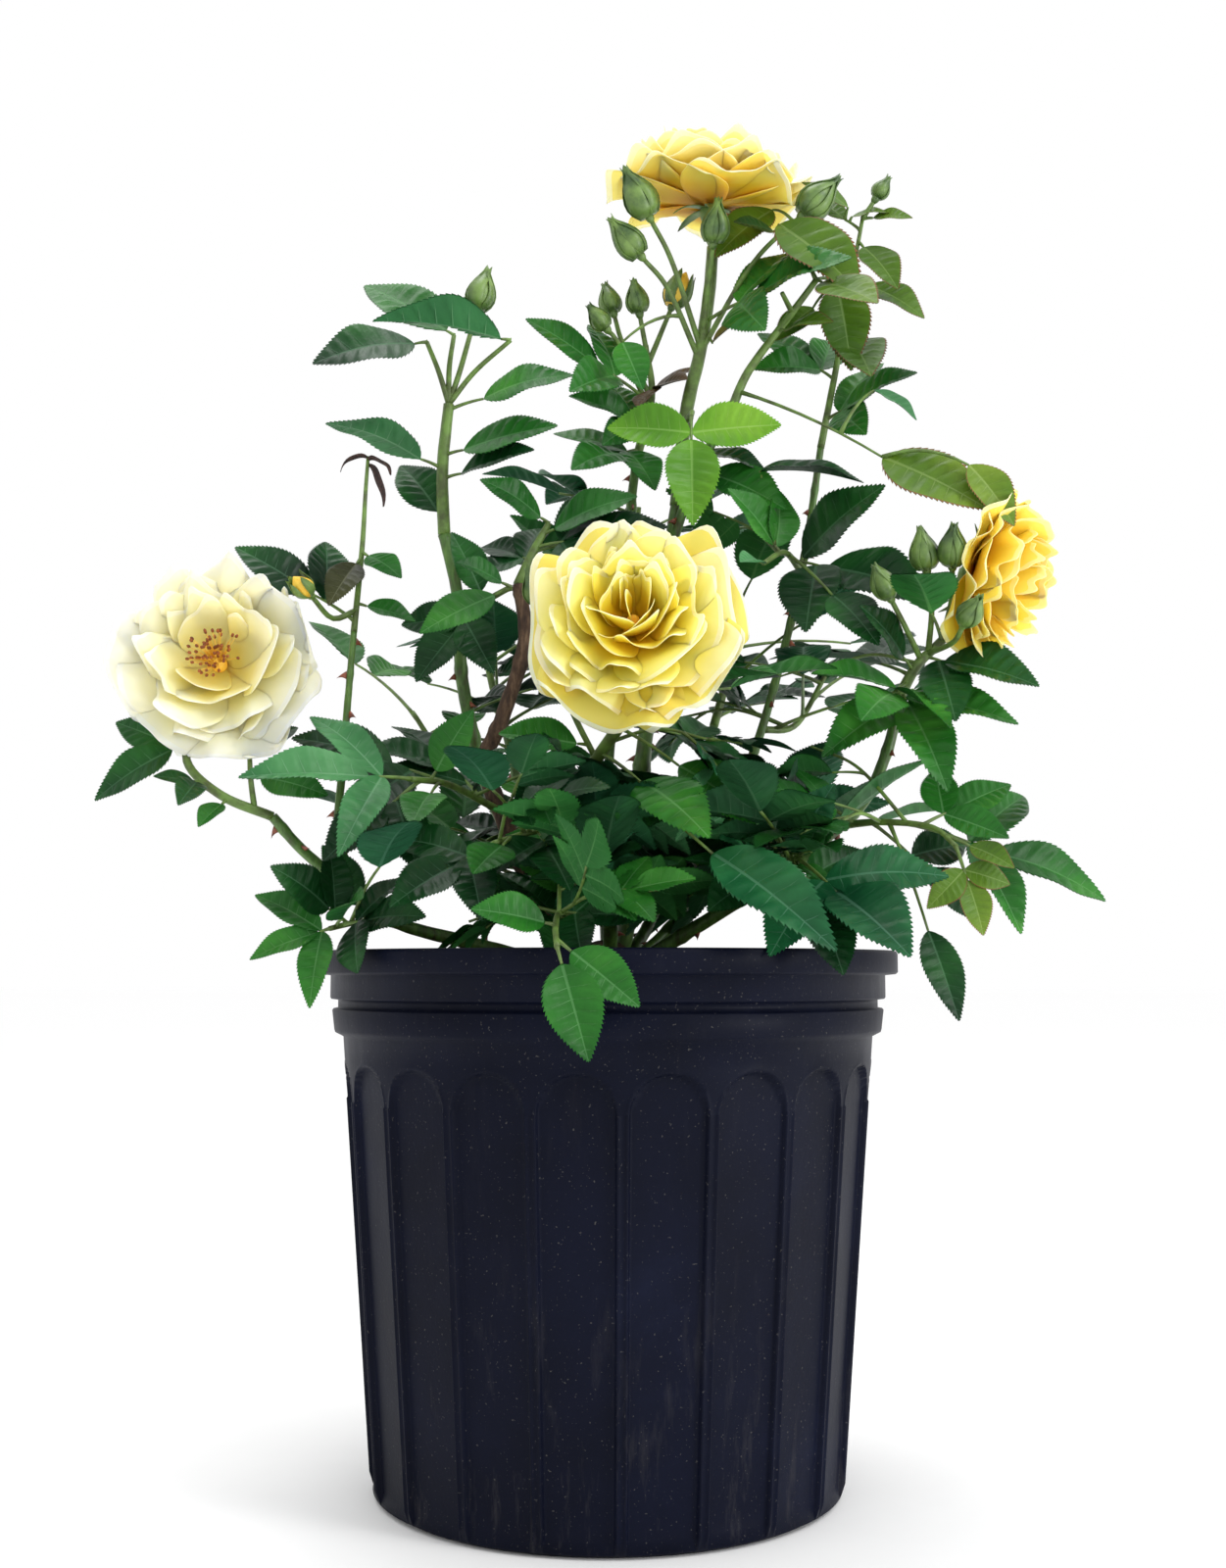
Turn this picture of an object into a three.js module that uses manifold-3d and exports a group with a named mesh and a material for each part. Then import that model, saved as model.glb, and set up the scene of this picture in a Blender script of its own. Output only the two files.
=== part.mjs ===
// A rose bush with four yellow blooms in a ribbed black nursery pot, in millimetres.
// +Z is up and the origin is the centre of the pot's flat underside. The viewer stands on the -Y side,
// with +X to the right. Canes rise from a short crown on the soil, and each mass of foliage is one stem
// with its twigs, leaves and buds fused on.
import * as THREE from "three";
import { mergeVertices } from "three/addons/utils/BufferGeometryUtils.js";
import Module from "manifold-3d";

const wasm = await Module();
wasm.setup();

// Driving dimensions
const CLEAR = 0.3;
const LEAF_CLEAR = 0.6;
const TIDY = 0.1;
const POT = {
  height: 250, rim: 139, rimDrop: 11, step: 133, stepDrop: 22.5, groove: 129.3, grooveDrop: 27,
  band: 132, bandFoot: 130.5, bandDrop: 38, shoulder: 126.6, foot: 111, corner: 8, wall: 3, sides: 40,
};
const FLUTE = { count: 20, offset: -6, width: 34, top: 197.5, depth: 1.7, arcSteps: 2, reach: 20 };
const SOIL_LEVEL = 225;
const CROWN = { flare: 17, waist: 12.5, knuckle: 16, height: 30, sides: 10 };
const CANE_SIDES = 5;
const TWIG_SIDES = 3;
const STALK = { root: 1.15, tip: 0.85 };
const LEAF = { width: 0.56, splay: 60, lean: 8, midrib: 0.03 };
// The leaflet's six corners in order round its outline: along, across and upward, as shares of the
// length, of the half width and of the length
const LEAF_OUTLINE = [
  [0, 0, 0], [0.24, 0.86, -0.005], [0.6, 0.94, 0.05],
  [1, 0, -0.01], [0.6, -0.94, 0.05], [0.24, -0.86, -0.005],
];
const PAIR_PLACES = [[], [0.72], [0.76, 0.42]];
const PAIR_SIZES = [0.92, 0.78];
const BUD = { radius: 0.29, sides: 5, rows: 3, sunk: 1.2 };
const WHORL = { stepsPerPetal: 3, scallop: 0.07, wave: 0.12, hollow: 0.22, sunk: 0.1, twist: 0.6 };
const GOLDEN_ANGLE = 137.5;
const CROWN_REACH = { x: 242, y: 172, top: 672, bottom: 200 };

// Canes: the radius of each at root and tip, and the bends it follows
const CANES = [
  { name: "cane_centre", radii: [4.8, 3.6],
    bends: [[2, 0, 240], [9, -4, 262], [12, -6, 307], [19, -4, 360], [28, -4, 429], [34, -6, 470]] },
  { name: "cane_front", radii: [4.2, 3.0],
    bends: [[0, -5, 240], [1, -24, 262], [-4, -34, 287], [-14, -46, 309], [-17, -54, 319],
      [-9, -64, 331]] },
  { name: "cane_old", radii: [5.0, 3.6],
    bends: [[-6, -4, 240], [-24, -8, 252], [-40, -10, 288], [-55, -16, 325], [-59, -20, 342],
      [-50, -24, 363], [-40, -26, 398], [-43, -24, 426]] },
  { name: "cane_left_tall", radii: [4.4, 3.2],
    bends: [[-4, 3, 240], [-16, 10, 254], [-34, 15, 282], [-59, 16, 329], [-72, 4, 381],
      [-74, -4, 422], [-81, -8, 455]] },
  { name: "cane_left_low", radii: [4.2, 2.6],
    bends: [[-6, -3, 238], [-36, -10, 246], [-66, -18, 254], [-103, -29, 265], [-138, -45, 293],
      [-154, -54, 311]] },
  { name: "cane_left_thin", radii: [2.4, 1.7],
    bends: [[-121, -35, 279], [-126, -38, 309], [-125, -38, 332], [-123, -36, 368], [-121, -34, 401]] },
  { name: "cane_right", radii: [4.0, 2.8],
    bends: [[7, -2, 240], [40, -8, 260], [66, -16, 276], [86, -26, 289], [104, -34, 304],
      [121, -38, 321], [132, -40, 346], [136, -41, 367]] },
  { name: "cane_right_thin", radii: [3.0, 2.0],
    bends: [[6, 4, 240], [35, 18, 268], [57, 26, 315], [75, 26, 354], [92, 20, 414],
      [100, 14, 453], [108, 12, 505]] },
  { name: "cane_centre_right", radii: [3.0, 2.4],
    bends: [[31, -5, 450], [44, -16, 485], [60, -22, 513]] },
  { name: "cane_centre_left", radii: [3.4, 2.6],
    bends: [[4, 6, 240], [14, 16, 300], [20, 16, 380], [12, 16, 463], [14, 12, 498]] },
  { name: "cane_back_left", radii: [3.6, 2.6],
    bends: [[-4, 7, 240], [-24, 32, 276], [-44, 56, 326], [-54, 64, 366]] },
  { name: "cane_back_right", radii: [3.6, 2.6],
    bends: [[5, 8, 240], [30, 42, 280], [48, 62, 330], [56, 68, 370]] },
  { name: "cane_back", radii: [3.4, 2.6],
    bends: [[0, 8, 240], [-2, 36, 286], [0, 58, 346], [6, 64, 400]] },
];

// Foliage masses. A stem starts at a share of the way up its cane. Each twig starts at a share of the
// stem and may end in a bud of the given length, and each leaf names the limb that it grows on (0 is the
// stem, 1 the first twig), the share of the way along it, the place of its tip, the length of its
// leaflets, how many pairs of them stand behind the end one, how far it faces the viewer in degrees
// (0 lies flat), and its tone. fill counts the leaves that are dealt round the stem by the seeded rule.
// An eighth value, where a leaf has one, is the angle of its side leaflets in degrees.
const FOLIAGE = [
  { name: "foliage_left_bloom", cane: "cane_left_low", share: 1, radii: [2.3, 1.7], fill: 0,
    stem: [[-176, -62, 320], [-193, -58, 336], [-192, -48, 357], [-190, -46, 371]],
    twigs: [{ share: 0.1, points: [[-164, -56, 328], [-166, -50, 340]], bud: 0 }],
    leaves: [
      [0, 0.7, [-236, -60, 320], 42, 1, 60, "dark"], [0, 0.4, [-204, -74, 328], 28, 1, 45, "dark"],
      [0, 0.25, [-182, -80, 305], 32, 0, 50, "mid"], [1, 1, [-146, -40, 356], 34, 0, 55, "dark"],
      [1, 0.6, [-128, -62, 322], 38, 0, 60, "mid"],
    ] },
  { name: "foliage_low_left", cane: "cane_left_low", share: 0.62, radii: [1.7, 1.2], fill: 4,
    stem: [[-108, -46, 264], [-115, -64, 262], [-122, -84, 259]],
    twigs: [],
    leaves: [
      [0, 1, [-155, -95, 246], 40, 1, 55, "mid"], [0, 0.7, [-144, -100, 286], 36, 1, 60, "dark"],
      [0, 0.4, [-129, -60, 298], 32, 0, 50, "dark"], [0, 0.8, [-80, -104, 266], 36, 1, 55, "dark"],
      [0, 0.9, [-104, -120, 272], 34, 0, 55, "mid"],
    ] },
  { name: "foliage_left_thin", cane: "cane_left_thin", share: 1, radii: [1.7, 0.9], fill: 0,
    stem: [[-118, -32, 442], [-117, -30, 471], [-116, -30, 488]],
    twigs: [{ share: 0.12, points: [[-130, -42, 406], [-138, -54, 414]], bud: 17 }],
    leaves: [
      [0, 0.06, [-177, -40, 442], 44, 1, 50, "dark"], [0, 0.45, [-97, -50, 425], 34, 0, 50, "bright"],
      [0, 0.16, [-92, -30, 408], 34, 0, 50, "mid"], [0, 0.42, [-130, -54, 412], 34, 0, 75, "red"],
    ] },
  { name: "foliage_left_mid", cane: "cane_old", share: 0.45, radii: [2.0, 1.4], fill: 3,
    stem: [[-73, -50, 326], [-88, -75, 326]],
    twigs: [],
    leaves: [
      [0, 1, [-159, -105, 326], 58, 1, 50, "pale"], [0, 0.8, [-62, -72, 358], 42, 0, 70, "mid"],
      [0, 0.9, [-124, -92, 288], 38, 1, 60, "dark"], [0, 0.5, [-144, -60, 350], 48, 1, 50, "dark"],
      [0, 0.7, [-84, -106, 306], 36, 0, 50, "mid"], [0, 0.35, [-46, -62, 341], 34, 0, 50, "dark"],
    ] },
  { name: "foliage_left_top", cane: "cane_left_tall", share: 1, radii: [3.2, 2.7], fill: 0,
    stem: [[-82, -10, 487], [-79, -12, 520]],
    twigs: [
      { share: 1, points: [[-84, -13, 536], [-90, -14, 551]], bud: 0 },
      { share: 1, points: [[-79, -12, 538], [-77, -10, 556]], bud: 0 },
      { share: 1, points: [[-73, -11, 540], [-66, -10, 568]], bud: 24 },
      { share: 1, points: [[-66, -14, 536], [-48, -22, 549]], bud: 0 },
    ],
    leaves: [
      [1, 1, [-142, -40, 534], 54, 0, 55, "dark"], [2, 1, [-125, 10, 592], 58, 0, 45, "mid"],
      [4, 1, [-112, -52, 547], 66, 0, -10, "pale"],
      [0, 0.95, [-18, -25, 533], 46, 0, 50, "mid"], [0, 0.6, [-25, -30, 505], 50, 0, 50, "mid"],
      [0, 0.5, [-134, -45, 503], 52, 0, -8, "pale"], [0, 0.42, [-38, -38, 490], 42, 0, 50, "dark"],
      [0, 0.12, [-106, 12, 498], 42, 0, 60, "dark"],
    ] },
  { name: "foliage_left_inner", cane: "cane_left_tall", share: 0.82, radii: [2.0, 1.4], fill: 0,
    stem: [[-59, -28, 417], [-46, -42, 421]],
    twigs: [],
    leaves: [
      [0, 0.9, [-88, -52, 398], 42, 0, 50, "mid"], [0, 1, [-70, -58, 430], 32, 0, 55, "dark"],
      [0, 0.6, [-74, -38, 449], 34, 0, 50, "dark"], [0, 0.7, [-44, -56, 380], 38, 1, 60, "dark"],
      [0, 0.3, [-92, -26, 378], 38, 1, 50, "dark"],
    ] },
  { name: "foliage_old", cane: "cane_old", share: 1, radii: [3.2, 1.6], fill: 0,
    stem: [[-36, -20, 444], [-29, -18, 458]],
    twigs: [],
    leaves: [
      [0, 1, [-60, -37, 476], 38, 0, 55, "mid"], 
      [0, 0.8, [12, -36, 470], 44, 0, 50, "mid"], [0, 0.6, [28, -40, 452], 48, 1, 55, "dark"],
      [0, 0.4, [-64, 2, 452], 34, 1, 50, "dark"],
    ] },
  { name: "foliage_centre_left", cane: "cane_centre_left", share: 1, radii: [2.5, 1.5], fill: 0,
    stem: [[22, 8, 530], [19, 4, 556]],
    twigs: [
      { share: 0.8, points: [[16, 0, 570]], bud: 19 },
      { share: 0.55, points: [[8, 6, 556], [3, 7, 573]], bud: 19 },
      { share: 0.45, points: [[6, 0, 554], [0, -3, 561]], bud: 17 },
      { share: 0.85, points: [[32, 6, 576]], bud: 24 },
    ],
    leaves: [
      [0, 0.5, [-40, -20, 562], 44, 1, 50, "mid"], [0, 0.1, [-17, -30, 484], 42, 1, 55, "mid"],
      [0, 0.62, [34, -22, 527], 28, 1, 70, "red"], [0, 0.3, [-20, 0, 528], 36, 1, 50, "mid"],
    ] },
  { name: "foliage_centre_top", cane: "cane_centre", share: 1, radii: [3.5, 3.0], fill: 0,
    stem: [[39, -6, 518], [46, -4, 549], [51, -2, 581], [53, 0, 606]],
    twigs: [
      { share: 0.56, points: [[30, -14, 578], [17, -20, 592]], bud: 25 },
      { share: 0.6, points: [[32, -18, 590], [21, -24, 610]], bud: 28 },
      { share: 0.64, points: [[52, -20, 598]], bud: 23 },
      { share: 0.58, points: [[72, -12, 592], [96, -14, 616]], bud: 28 },
      { share: 0.3, points: [[41, -24, 512], [40, -34, 506]], bud: 0 },
    ],
    leaves: [
      [5, 1, [40, -50, 450], 46, 1, 75, "bright", 96], [0, 0.7, [122, -42, 576], 54, 1, 50, "bright"],
      [4, 0.85, [62, -30, 607], 30, 0, 55, "dark"],
    ] },
  { name: "foliage_upper_right", cane: "cane_centre_right", share: 1, radii: [2.4, 1.6], fill: 0,
    stem: [[69, -24, 533], [89, -30, 559], [101, -36, 574]],
    twigs: [{ share: 0.75, points: [[84, -40, 566]], bud: 0 }],
    leaves: [
      [0, 0.14, [174, -76, 451], 58, 1, 60, "olive"], [0, 1, [125, -72, 550], 52, 0, 65, "olive"],
      [0, 0.6, [106, -54, 548], 30, 0, 55, "olive"],
    ] },
  { name: "foliage_right_thin", cane: "cane_right_thin", share: 1, radii: [2.0, 1.0], fill: 0,
    stem: [[118, 6, 557], [123, 2, 587], [129, -2, 620]],
    twigs: [{ share: 1, points: [[135, -4, 629]], bud: 15 }],
    leaves: [
      [0, 0.5, [126, -44, 528], 48, 0, 60, "olive"], [0, 0.9, [144, -20, 579], 34, 0, 55, "olive"],
      [0, 0.74, [159, -10, 568], 34, 0, 50, "olive"], [0, 0.12, [151, -22, 534], 42, 1, 50, "mid"],
      [0, 1, [153, -10, 619], 20, 0, 50, "olive"], [0, 0.95, [108, 14, 637], 22, 0, 50, "olive"],
      [0, 0.3, [78, 26, 572], 40, 1, 40, "mid"],
    ] },
  { name: "foliage_right_inner", cane: "cane_right_thin", share: 0.78, radii: [1.8, 1.3], fill: 0,
    stem: [[86, -20, 443], [74, -40, 433]],
    twigs: [],
    leaves: [
      [0, 0.3, [150, -52, 418], 60, 1, 60, "dark"], [0, 0.2, [131, -25, 478], 54, 0, 50, "dark"],
      [0, 0.7, [58, -40, 470], 36, 1, 50, "mid"], [0, 1, [62, -64, 430], 36, 0, 60, "pale"],
      [0, 0.5, [124, -66, 392], 40, 0, 60, "dark"],
    ] },
  { name: "foliage_right", cane: "cane_right", share: 1, radii: [2.8, 2.0], fill: 2,
    stem: [[145, -43, 383], [153, -44, 391], [163, -46, 401]],
    twigs: [
      { share: 0.5, points: [[138, -54, 400], [131, -60, 411]], bud: 20 },
      { share: 0.6, points: [[150, -58, 408], [147, -64, 423]], bud: 22 },
      { share: 0.8, points: [[159, -60, 412], [158, -68, 424]], bud: 22 },
      { share: 0.6, points: [[158, -66, 390], [161, -74, 396]], bud: 19 },
    ],
    leaves: [
      [0, 0.55, [198, -62, 370], 46, 1, 50, "dark"], [0, 0.1, [151, -84, 321], 60, 1, 60, "mid"],
      [0, 0.2, [112, -96, 352], 44, 1, 60, "pale"], [0, 0.35, [112, -66, 404], 36, 0, 60, "dark"],
      [0, 0.9, [186, -14, 398], 32, 0, 45, "dark"],
    ] },
  { name: "foliage_right_low", cane: "cane_right", share: 0.66, radii: [1.9, 1.1], fill: 4,
    stem: [[125, -60, 308], [144, -80, 304], [152, -92, 295]],
    twigs: [],
    leaves: [
      [0, 0.55, [229, -60, 276], 58, 1, 45, "mid"], [0, 1, [163, -98, 256], 25, 1, 60, "olive"],
      [0, 0.9, [175, -104, 286], 22, 0, 55, "olive"], [0, 0.45, [149, -110, 220], 44, 1, 60, "dark"],
      [0, 0.3, [172, -52, 262], 36, 1, 50, "dark"], [0, 0.7, [184, -62, 326], 34, 1, 50, "mid"],
    ] },
  { name: "foliage_right_front", cane: "cane_right", share: 0.4, radii: [2.0, 1.4], fill: 4,
    stem: [[74, -50, 284], [84, -82, 290]],
    twigs: [],
    leaves: [
      [0, 1, [120, -142, 238], 56, 1, 60, "pale"], [0, 0.85, [98, -92, 322], 44, 0, 60, "blue"],
      [0, 0.7, [126, -84, 266], 38, 1, 55, "dark"], [0, 0.95, [86, -142, 246], 40, 0, 60, "dark"],
      [0, 0.6, [44, -100, 268], 38, 1, 60, "dark"],
    ] },
  { name: "foliage_front", cane: "cane_front", share: 1, radii: [3.0, 2.6], fill: 2,
    stem: [[3, -80, 346], [14, -94, 361]],
    twigs: [{ share: 0.16, points: [[-18, -76, 362], [-30, -86, 402]], bud: 20 }],
    leaves: [
      [0, 0.25, [42, -132, 298], 52, 0, 55, "mid"], [0, 0.1, [92, -152, 250], 74, 0, 60, "pale"],
      [0, 0.6, [66, -104, 306], 44, 0, 55, "mid"], [1, 0.1, [-49, -78, 346], 36, 0, 55, "mid"],
      [1, 0.6, [-48, -76, 380], 30, 0, 55, "dark"],
    ] },
  { name: "foliage_front_low", cane: "cane_front", share: 0.3, radii: [1.9, 1.2], fill: 3,
    stem: [[-12, -66, 264], [-20, -110, 265], [-21, -140, 258], [-20, -153, 250]],
    twigs: [],
    leaves: [
      [0, 1, [-7, -169, 205], 42, 0, 70, "blue"], [0, 0.86, [-54, -152, 266], 34, 0, 60, "mid"],
      [0, 0.96, [12, -160, 226], 36, 0, 60, "mid"], [0, 0.6, [20, -124, 262], 36, 1, 50, "dark"],
      [0, 0.35, [-56, -98, 262], 36, 1, 50, "dark"],
    ] },
  { name: "foliage_front_left", cane: "cane_front", share: 0.72, radii: [1.9, 1.3], fill: 4,
    stem: [[-33, -70, 303], [-50, -90, 296]],
    twigs: [],
    leaves: [
      [0, 1, [-92, -116, 268], 38, 1, 55, "dark"], [0, 0.8, [-56, -124, 282], 36, 0, 60, "mid"],
      [0, 0.5, [-16, -112, 276], 38, 1, 60, "dark"],
      [0, 0.6, [-36, -100, 324], 36, 0, 55, "dark"],
    ] },
  { name: "foliage_back_left", cane: "cane_back_left", share: 1, radii: [2.5, 1.5], fill: 8,
    stem: [[-62, 72, 392], [-68, 72, 420]], twigs: [], leaves: [] },
  { name: "foliage_back_right", cane: "cane_back_right", share: 1, radii: [2.5, 1.5], fill: 8,
    stem: [[64, 74, 400], [68, 76, 432]], twigs: [], leaves: [] },
  { name: "foliage_back", cane: "cane_back", share: 1, radii: [2.5, 1.5], fill: 7,
    stem: [[12, 62, 444], [16, 56, 486]], twigs: [], leaves: [] },
  { name: "foliage_low_back_left", cane: "cane_back_left", share: 0.45, radii: [2.0, 1.3], fill: 7,
    stem: [[-64, 58, 296], [-92, 66, 292]], twigs: [], leaves: [] },
  { name: "foliage_low_back_right", cane: "cane_back_right", share: 0.45, radii: [2.0, 1.3], fill: 7,
    stem: [[64, 58, 300], [94, 60, 296]], twigs: [], leaves: [] },
  { name: "foliage_low_back", cane: "cane_back", share: 0.35, radii: [2.0, 1.3], fill: 7,
    stem: [[0, 80, 290], [4, 112, 284]], twigs: [], leaves: [] },
  { name: "foliage_low_inner_left", cane: "cane_left_tall", share: 0.3, radii: [1.9, 1.3], fill: 7,
    stem: [[-66, 20, 288], [-98, 16, 284]], twigs: [], leaves: [] },
  { name: "foliage_low_inner_right", cane: "cane_right_thin", share: 0.2, radii: [1.9, 1.3], fill: 7,
    stem: [[74, 20, 284], [106, 8, 280]], twigs: [], leaves: [] },
  { name: "foliage_mid_left", cane: "cane_left_tall", share: 0.5, radii: [1.9, 1.3], fill: 5,
    stem: [[-84, 26, 350], [-100, 30, 372]], twigs: [], leaves: [] },
  { name: "foliage_mid_right", cane: "cane_right_thin", share: 0.5, radii: [1.9, 1.3], fill: 5,
    stem: [[96, 34, 366], [112, 40, 392]], twigs: [], leaves: [] },
];

// Blooms: name, the foliage whose stem carries it, centre, the way it faces, radius across the petals,
// depth from calyx to heart, and its whorls from the outside in: petals, reach as a share of the radius,
// and the height of the rim as a share of the depth
const BLOOMS = [
  { name: "bloom_centre", foliage: "foliage_front", centre: [12, -128, 386], faces: [0, -0.96, 0.28],
    radius: 45, depth: 30, whorls: [[5, 1.0, 0.5], [6, 0.8, 0.8], [5, 0.52, 1.0]] },
  { name: "bloom_top", foliage: "foliage_centre_top", centre: [53, 0, 640], faces: [0.08, -0.1, 1],
    radius: 45, depth: 40, whorls: [[6, 1.0, 0.42], [7, 0.84, 0.7], [6, 0.6, 1.0]] },
  { name: "bloom_left", foliage: "foliage_left_bloom", centre: [-180, -62, 384], faces: [0, -0.98, 0.2],
    radius: 44, depth: 26, whorls: [[7, 1.0, 0.6], [6, 0.78, 1.0]] },
  { name: "bloom_right", foliage: "foliage_right", centre: [190, -52, 424], faces: [0.82, -0.42, -0.38],
    radius: 36, depth: 26, whorls: [[5, 1.0, 0.5], [6, 0.8, 0.8], [5, 0.5, 1.0]] },
];

const TONES = {
  dark: 0x1f5a2b, mid: 0x2f7336, pale: 0x5d9a78, blue: 0x2f6b4d,
  olive: 0x6b7a2a, bright: 0x7ba324, red: 0x5b3b22,
};
const COLOURS = {
  pot: 0x14161c, soil: 0x2b1f16, crown: 0x4a3a26, oldCane: 0x3f2d1f, cane: 0x3f6a33, petal: 0xf3cf4a,
};

const vec = (p) => new THREE.Vector3(...p);
const radians = THREE.MathUtils.degToRad;
const UP = new THREE.Vector3(0, 0, 1);
const TO_VIEWER = new THREE.Vector3(0, -1, 0);

// A 32-bit generator, so that every leaf is dealt the same way each time
function seeded(seed) {
  let state = seed >>> 0;
  return () => {
    state = (state + 0x6d2b79f5) >>> 0;
    let mixed = Math.imul(state ^ (state >>> 15), 1 | state);
    mixed = (mixed + Math.imul(mixed ^ (mixed >>> 7), 61 | mixed)) ^ mixed;
    return ((mixed ^ (mixed >>> 14)) >>> 0) / 4294967296;
  };
}

// From three.js geometry to a solid and back
function solidOf(geometry) {
  geometry.deleteAttribute("normal");
  geometry.deleteAttribute("uv");
  const merged = mergeVertices(geometry, 1e-4);
  const mesh = new wasm.Mesh({
    numProp: 3,
    vertProperties: new Float32Array(merged.attributes.position.array),
    triVerts: new Uint32Array(merged.index.array),
  });
  return new wasm.Manifold(mesh);
}

function geometryOf(solid) {
  const mesh = solid.getMesh();
  const geometry = new THREE.BufferGeometry();
  geometry.setAttribute("position", new THREE.BufferAttribute(new Float32Array(mesh.vertProperties), 3));
  geometry.setIndex(new THREE.BufferAttribute(new Uint32Array(mesh.triVerts), 1));
  return geometry;
}

// The largest body of a solid: scraps and the walls of sealed hollows are dropped
function mainBody(solid) {
  const bodies = solid.decompose();
  return bodies.reduce((best, body) => (body.volume() > best.volume() ? body : best));
}

// Parts grown together, with the slivers along their seams tidied away
function fused(parts) {
  return mainBody(wasm.Manifold.union(parts).asOriginal().simplify(TIDY));
}

function moveVertices(geometry, place) {
  const position = geometry.attributes.position;
  for (let i = 0; i < position.count; i += 1) {
    const to = place(position.getX(i), position.getY(i), position.getZ(i));
    position.setXYZ(i, to.x, to.y, to.z);
  }
  return geometry;
}

function smoothPath(points) {
  return new THREE.CatmullRomCurve3(points.map(vec), false, "catmullrom", 0.5);
}

// A tapering limb: a closed cylinder bent along its path
function limb(path, rootRadius, tipRadius, sides, steps, grow = 0) {
  const frames = path.computeFrenetFrames(steps, false);
  const geometry = new THREE.CylinderGeometry(1, 1, steps, sides, steps);
  moveVertices(geometry, (x, y, z) => {
    const step = Math.round(y + steps / 2);
    const share = step / steps;
    const radius = rootRadius + (tipRadius - rootRadius) * share + grow;
    const along = step === 0 ? -grow : step === steps ? grow : 0;
    return path.getPointAt(share)
      .addScaledVector(frames.normals[step], x * radius)
      .addScaledVector(frames.binormals[step], -z * radius)
      .addScaledVector(frames.tangents[step], along);
  });
  return solidOf(geometry);
}

function lathe(profile, sides, turn = 0) {
  const outline = profile.map(([radius, z]) => new THREE.Vector2(radius, z));
  return solidOf(new THREE.LatheGeometry(outline, sides).rotateX(Math.PI / 2).rotateZ(turn));
}

// A leaflet: the corners of an octahedron taken in turn round the leaf's outline, every second one on
// the upper side, with its root in the middle of the stalk
function outlineCorner(x, y, z) {
  const axis = Math.abs(x) > 0.5 ? 0 : Math.abs(y) > 0.5 ? 1 : 2;
  return x + y + z > 0 ? axis : axis + 3;
}

function leaflet(root, heading, normal, length) {
  const side = new THREE.Vector3().crossVectors(heading, normal);
  const geometry = moveVertices(new THREE.OctahedronGeometry(1), (x, y, z) => {
    const [along, across, rise] = LEAF_OUTLINE[outlineCorner(x, y, z)];
    return root.clone()
      .addScaledVector(heading, along * length)
      .addScaledVector(side, across * LEAF.width * length * 0.5)
      .addScaledVector(normal, rise * length);
  });
  return solidOf(geometry);
}

// A stalk with its end leaflet, as one cone whose last rings open out into the blade
function stalkWithBlade(root, end, heading, normal, length) {
  const side = new THREE.Vector3().crossVectors(heading, normal);
  const rings = 4;
  const geometry = new THREE.ConeGeometry(1, rings, TWIG_SIDES, rings).rotateY(Math.PI);
  return solidOf(moveVertices(geometry, (x, y, z) => {
    const ring = Math.round(y + rings / 2);
    if (ring === rings) return end.clone().addScaledVector(heading, length);
    const wide = rings / (rings - ring);
    const across = x * wide;
    const upward = z * wide;
    if (ring <= 1) {
      const radius = ring === 0 ? STALK.root : STALK.tip;
      const middle = ring === 0 ? root : end;
      return middle.clone().addScaledVector(side, across * radius).addScaledVector(normal, upward * radius);
    }
    const [along, half, rise] = LEAF_OUTLINE[ring - 1];
    return end.clone().addScaledVector(heading, along * length)
      .addScaledVector(side, (across / Math.cos(Math.PI / 6)) * half * LEAF.width * length * 0.5)
      .addScaledVector(normal, (rise + upward * LEAF.midrib) * length);
  }));
}

// One compound leaf, as its stalk with the end leaflet and the leaflets in pairs behind it
function compoundLeaf(root, tip, leafletLength, pairs, splay, toward, draw) {
  const chord = tip.clone().sub(root);
  const heading = chord.clone().normalize();
  const stalkLength = Math.max(chord.length() - leafletLength, 5);
  // The facing is squared to the heading in place, so the next try starts from the facing of the last
  const normal = toward.addScaledVector(heading, -toward.dot(heading)).normalize();
  const side = new THREE.Vector3().crossVectors(heading, normal);
  const end = root.clone().addScaledVector(heading, stalkLength);
  const blades = [];
  PAIR_PLACES[pairs].forEach((share, row) => {
    for (const hand of [-1, 1]) {
      const turn = radians(splay) * hand;
      const out = heading.clone().multiplyScalar(Math.cos(turn)).addScaledVector(side, Math.sin(turn));
      blades.push({ at: root.clone().lerp(end, share), heading: out, size: PAIR_SIZES[row] });
    }
  });
  const leaflets = blades.map((blade) => {
    const lean = radians(LEAF.lean * (2 * draw() - 1));
    const size = blade.size * (0.94 + 0.12 * draw());
    const across = new THREE.Vector3().crossVectors(blade.heading, normal);
    const tilted = normal.clone().multiplyScalar(Math.cos(lean)).addScaledVector(across, Math.sin(lean));
    return leaflet(blade.at, blade.heading, tilted, leafletLength * size);
  });
  return { stalk: stalkWithBlade(root, end, heading, normal, tip.distanceTo(end)), leaflets };
}

// A bud: a pointed egg standing on the end of its twig
function bud(base, heading, length) {
  const turn = new THREE.Quaternion().setFromUnitVectors(new THREE.Vector3(0, 1, 0), heading);
  const geometry = moveVertices(new THREE.SphereGeometry(1, BUD.sides, BUD.rows), (x, y, z) => {
    const wide = BUD.radius * length * (y > 0 ? 1 : 1.15);
    const offset = new THREE.Vector3(x * wide, (y + 1) * 0.5 * length - BUD.sunk, z * wide);
    return base.clone().add(offset.applyQuaternion(turn));
  });
  return solidOf(geometry);
}

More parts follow.
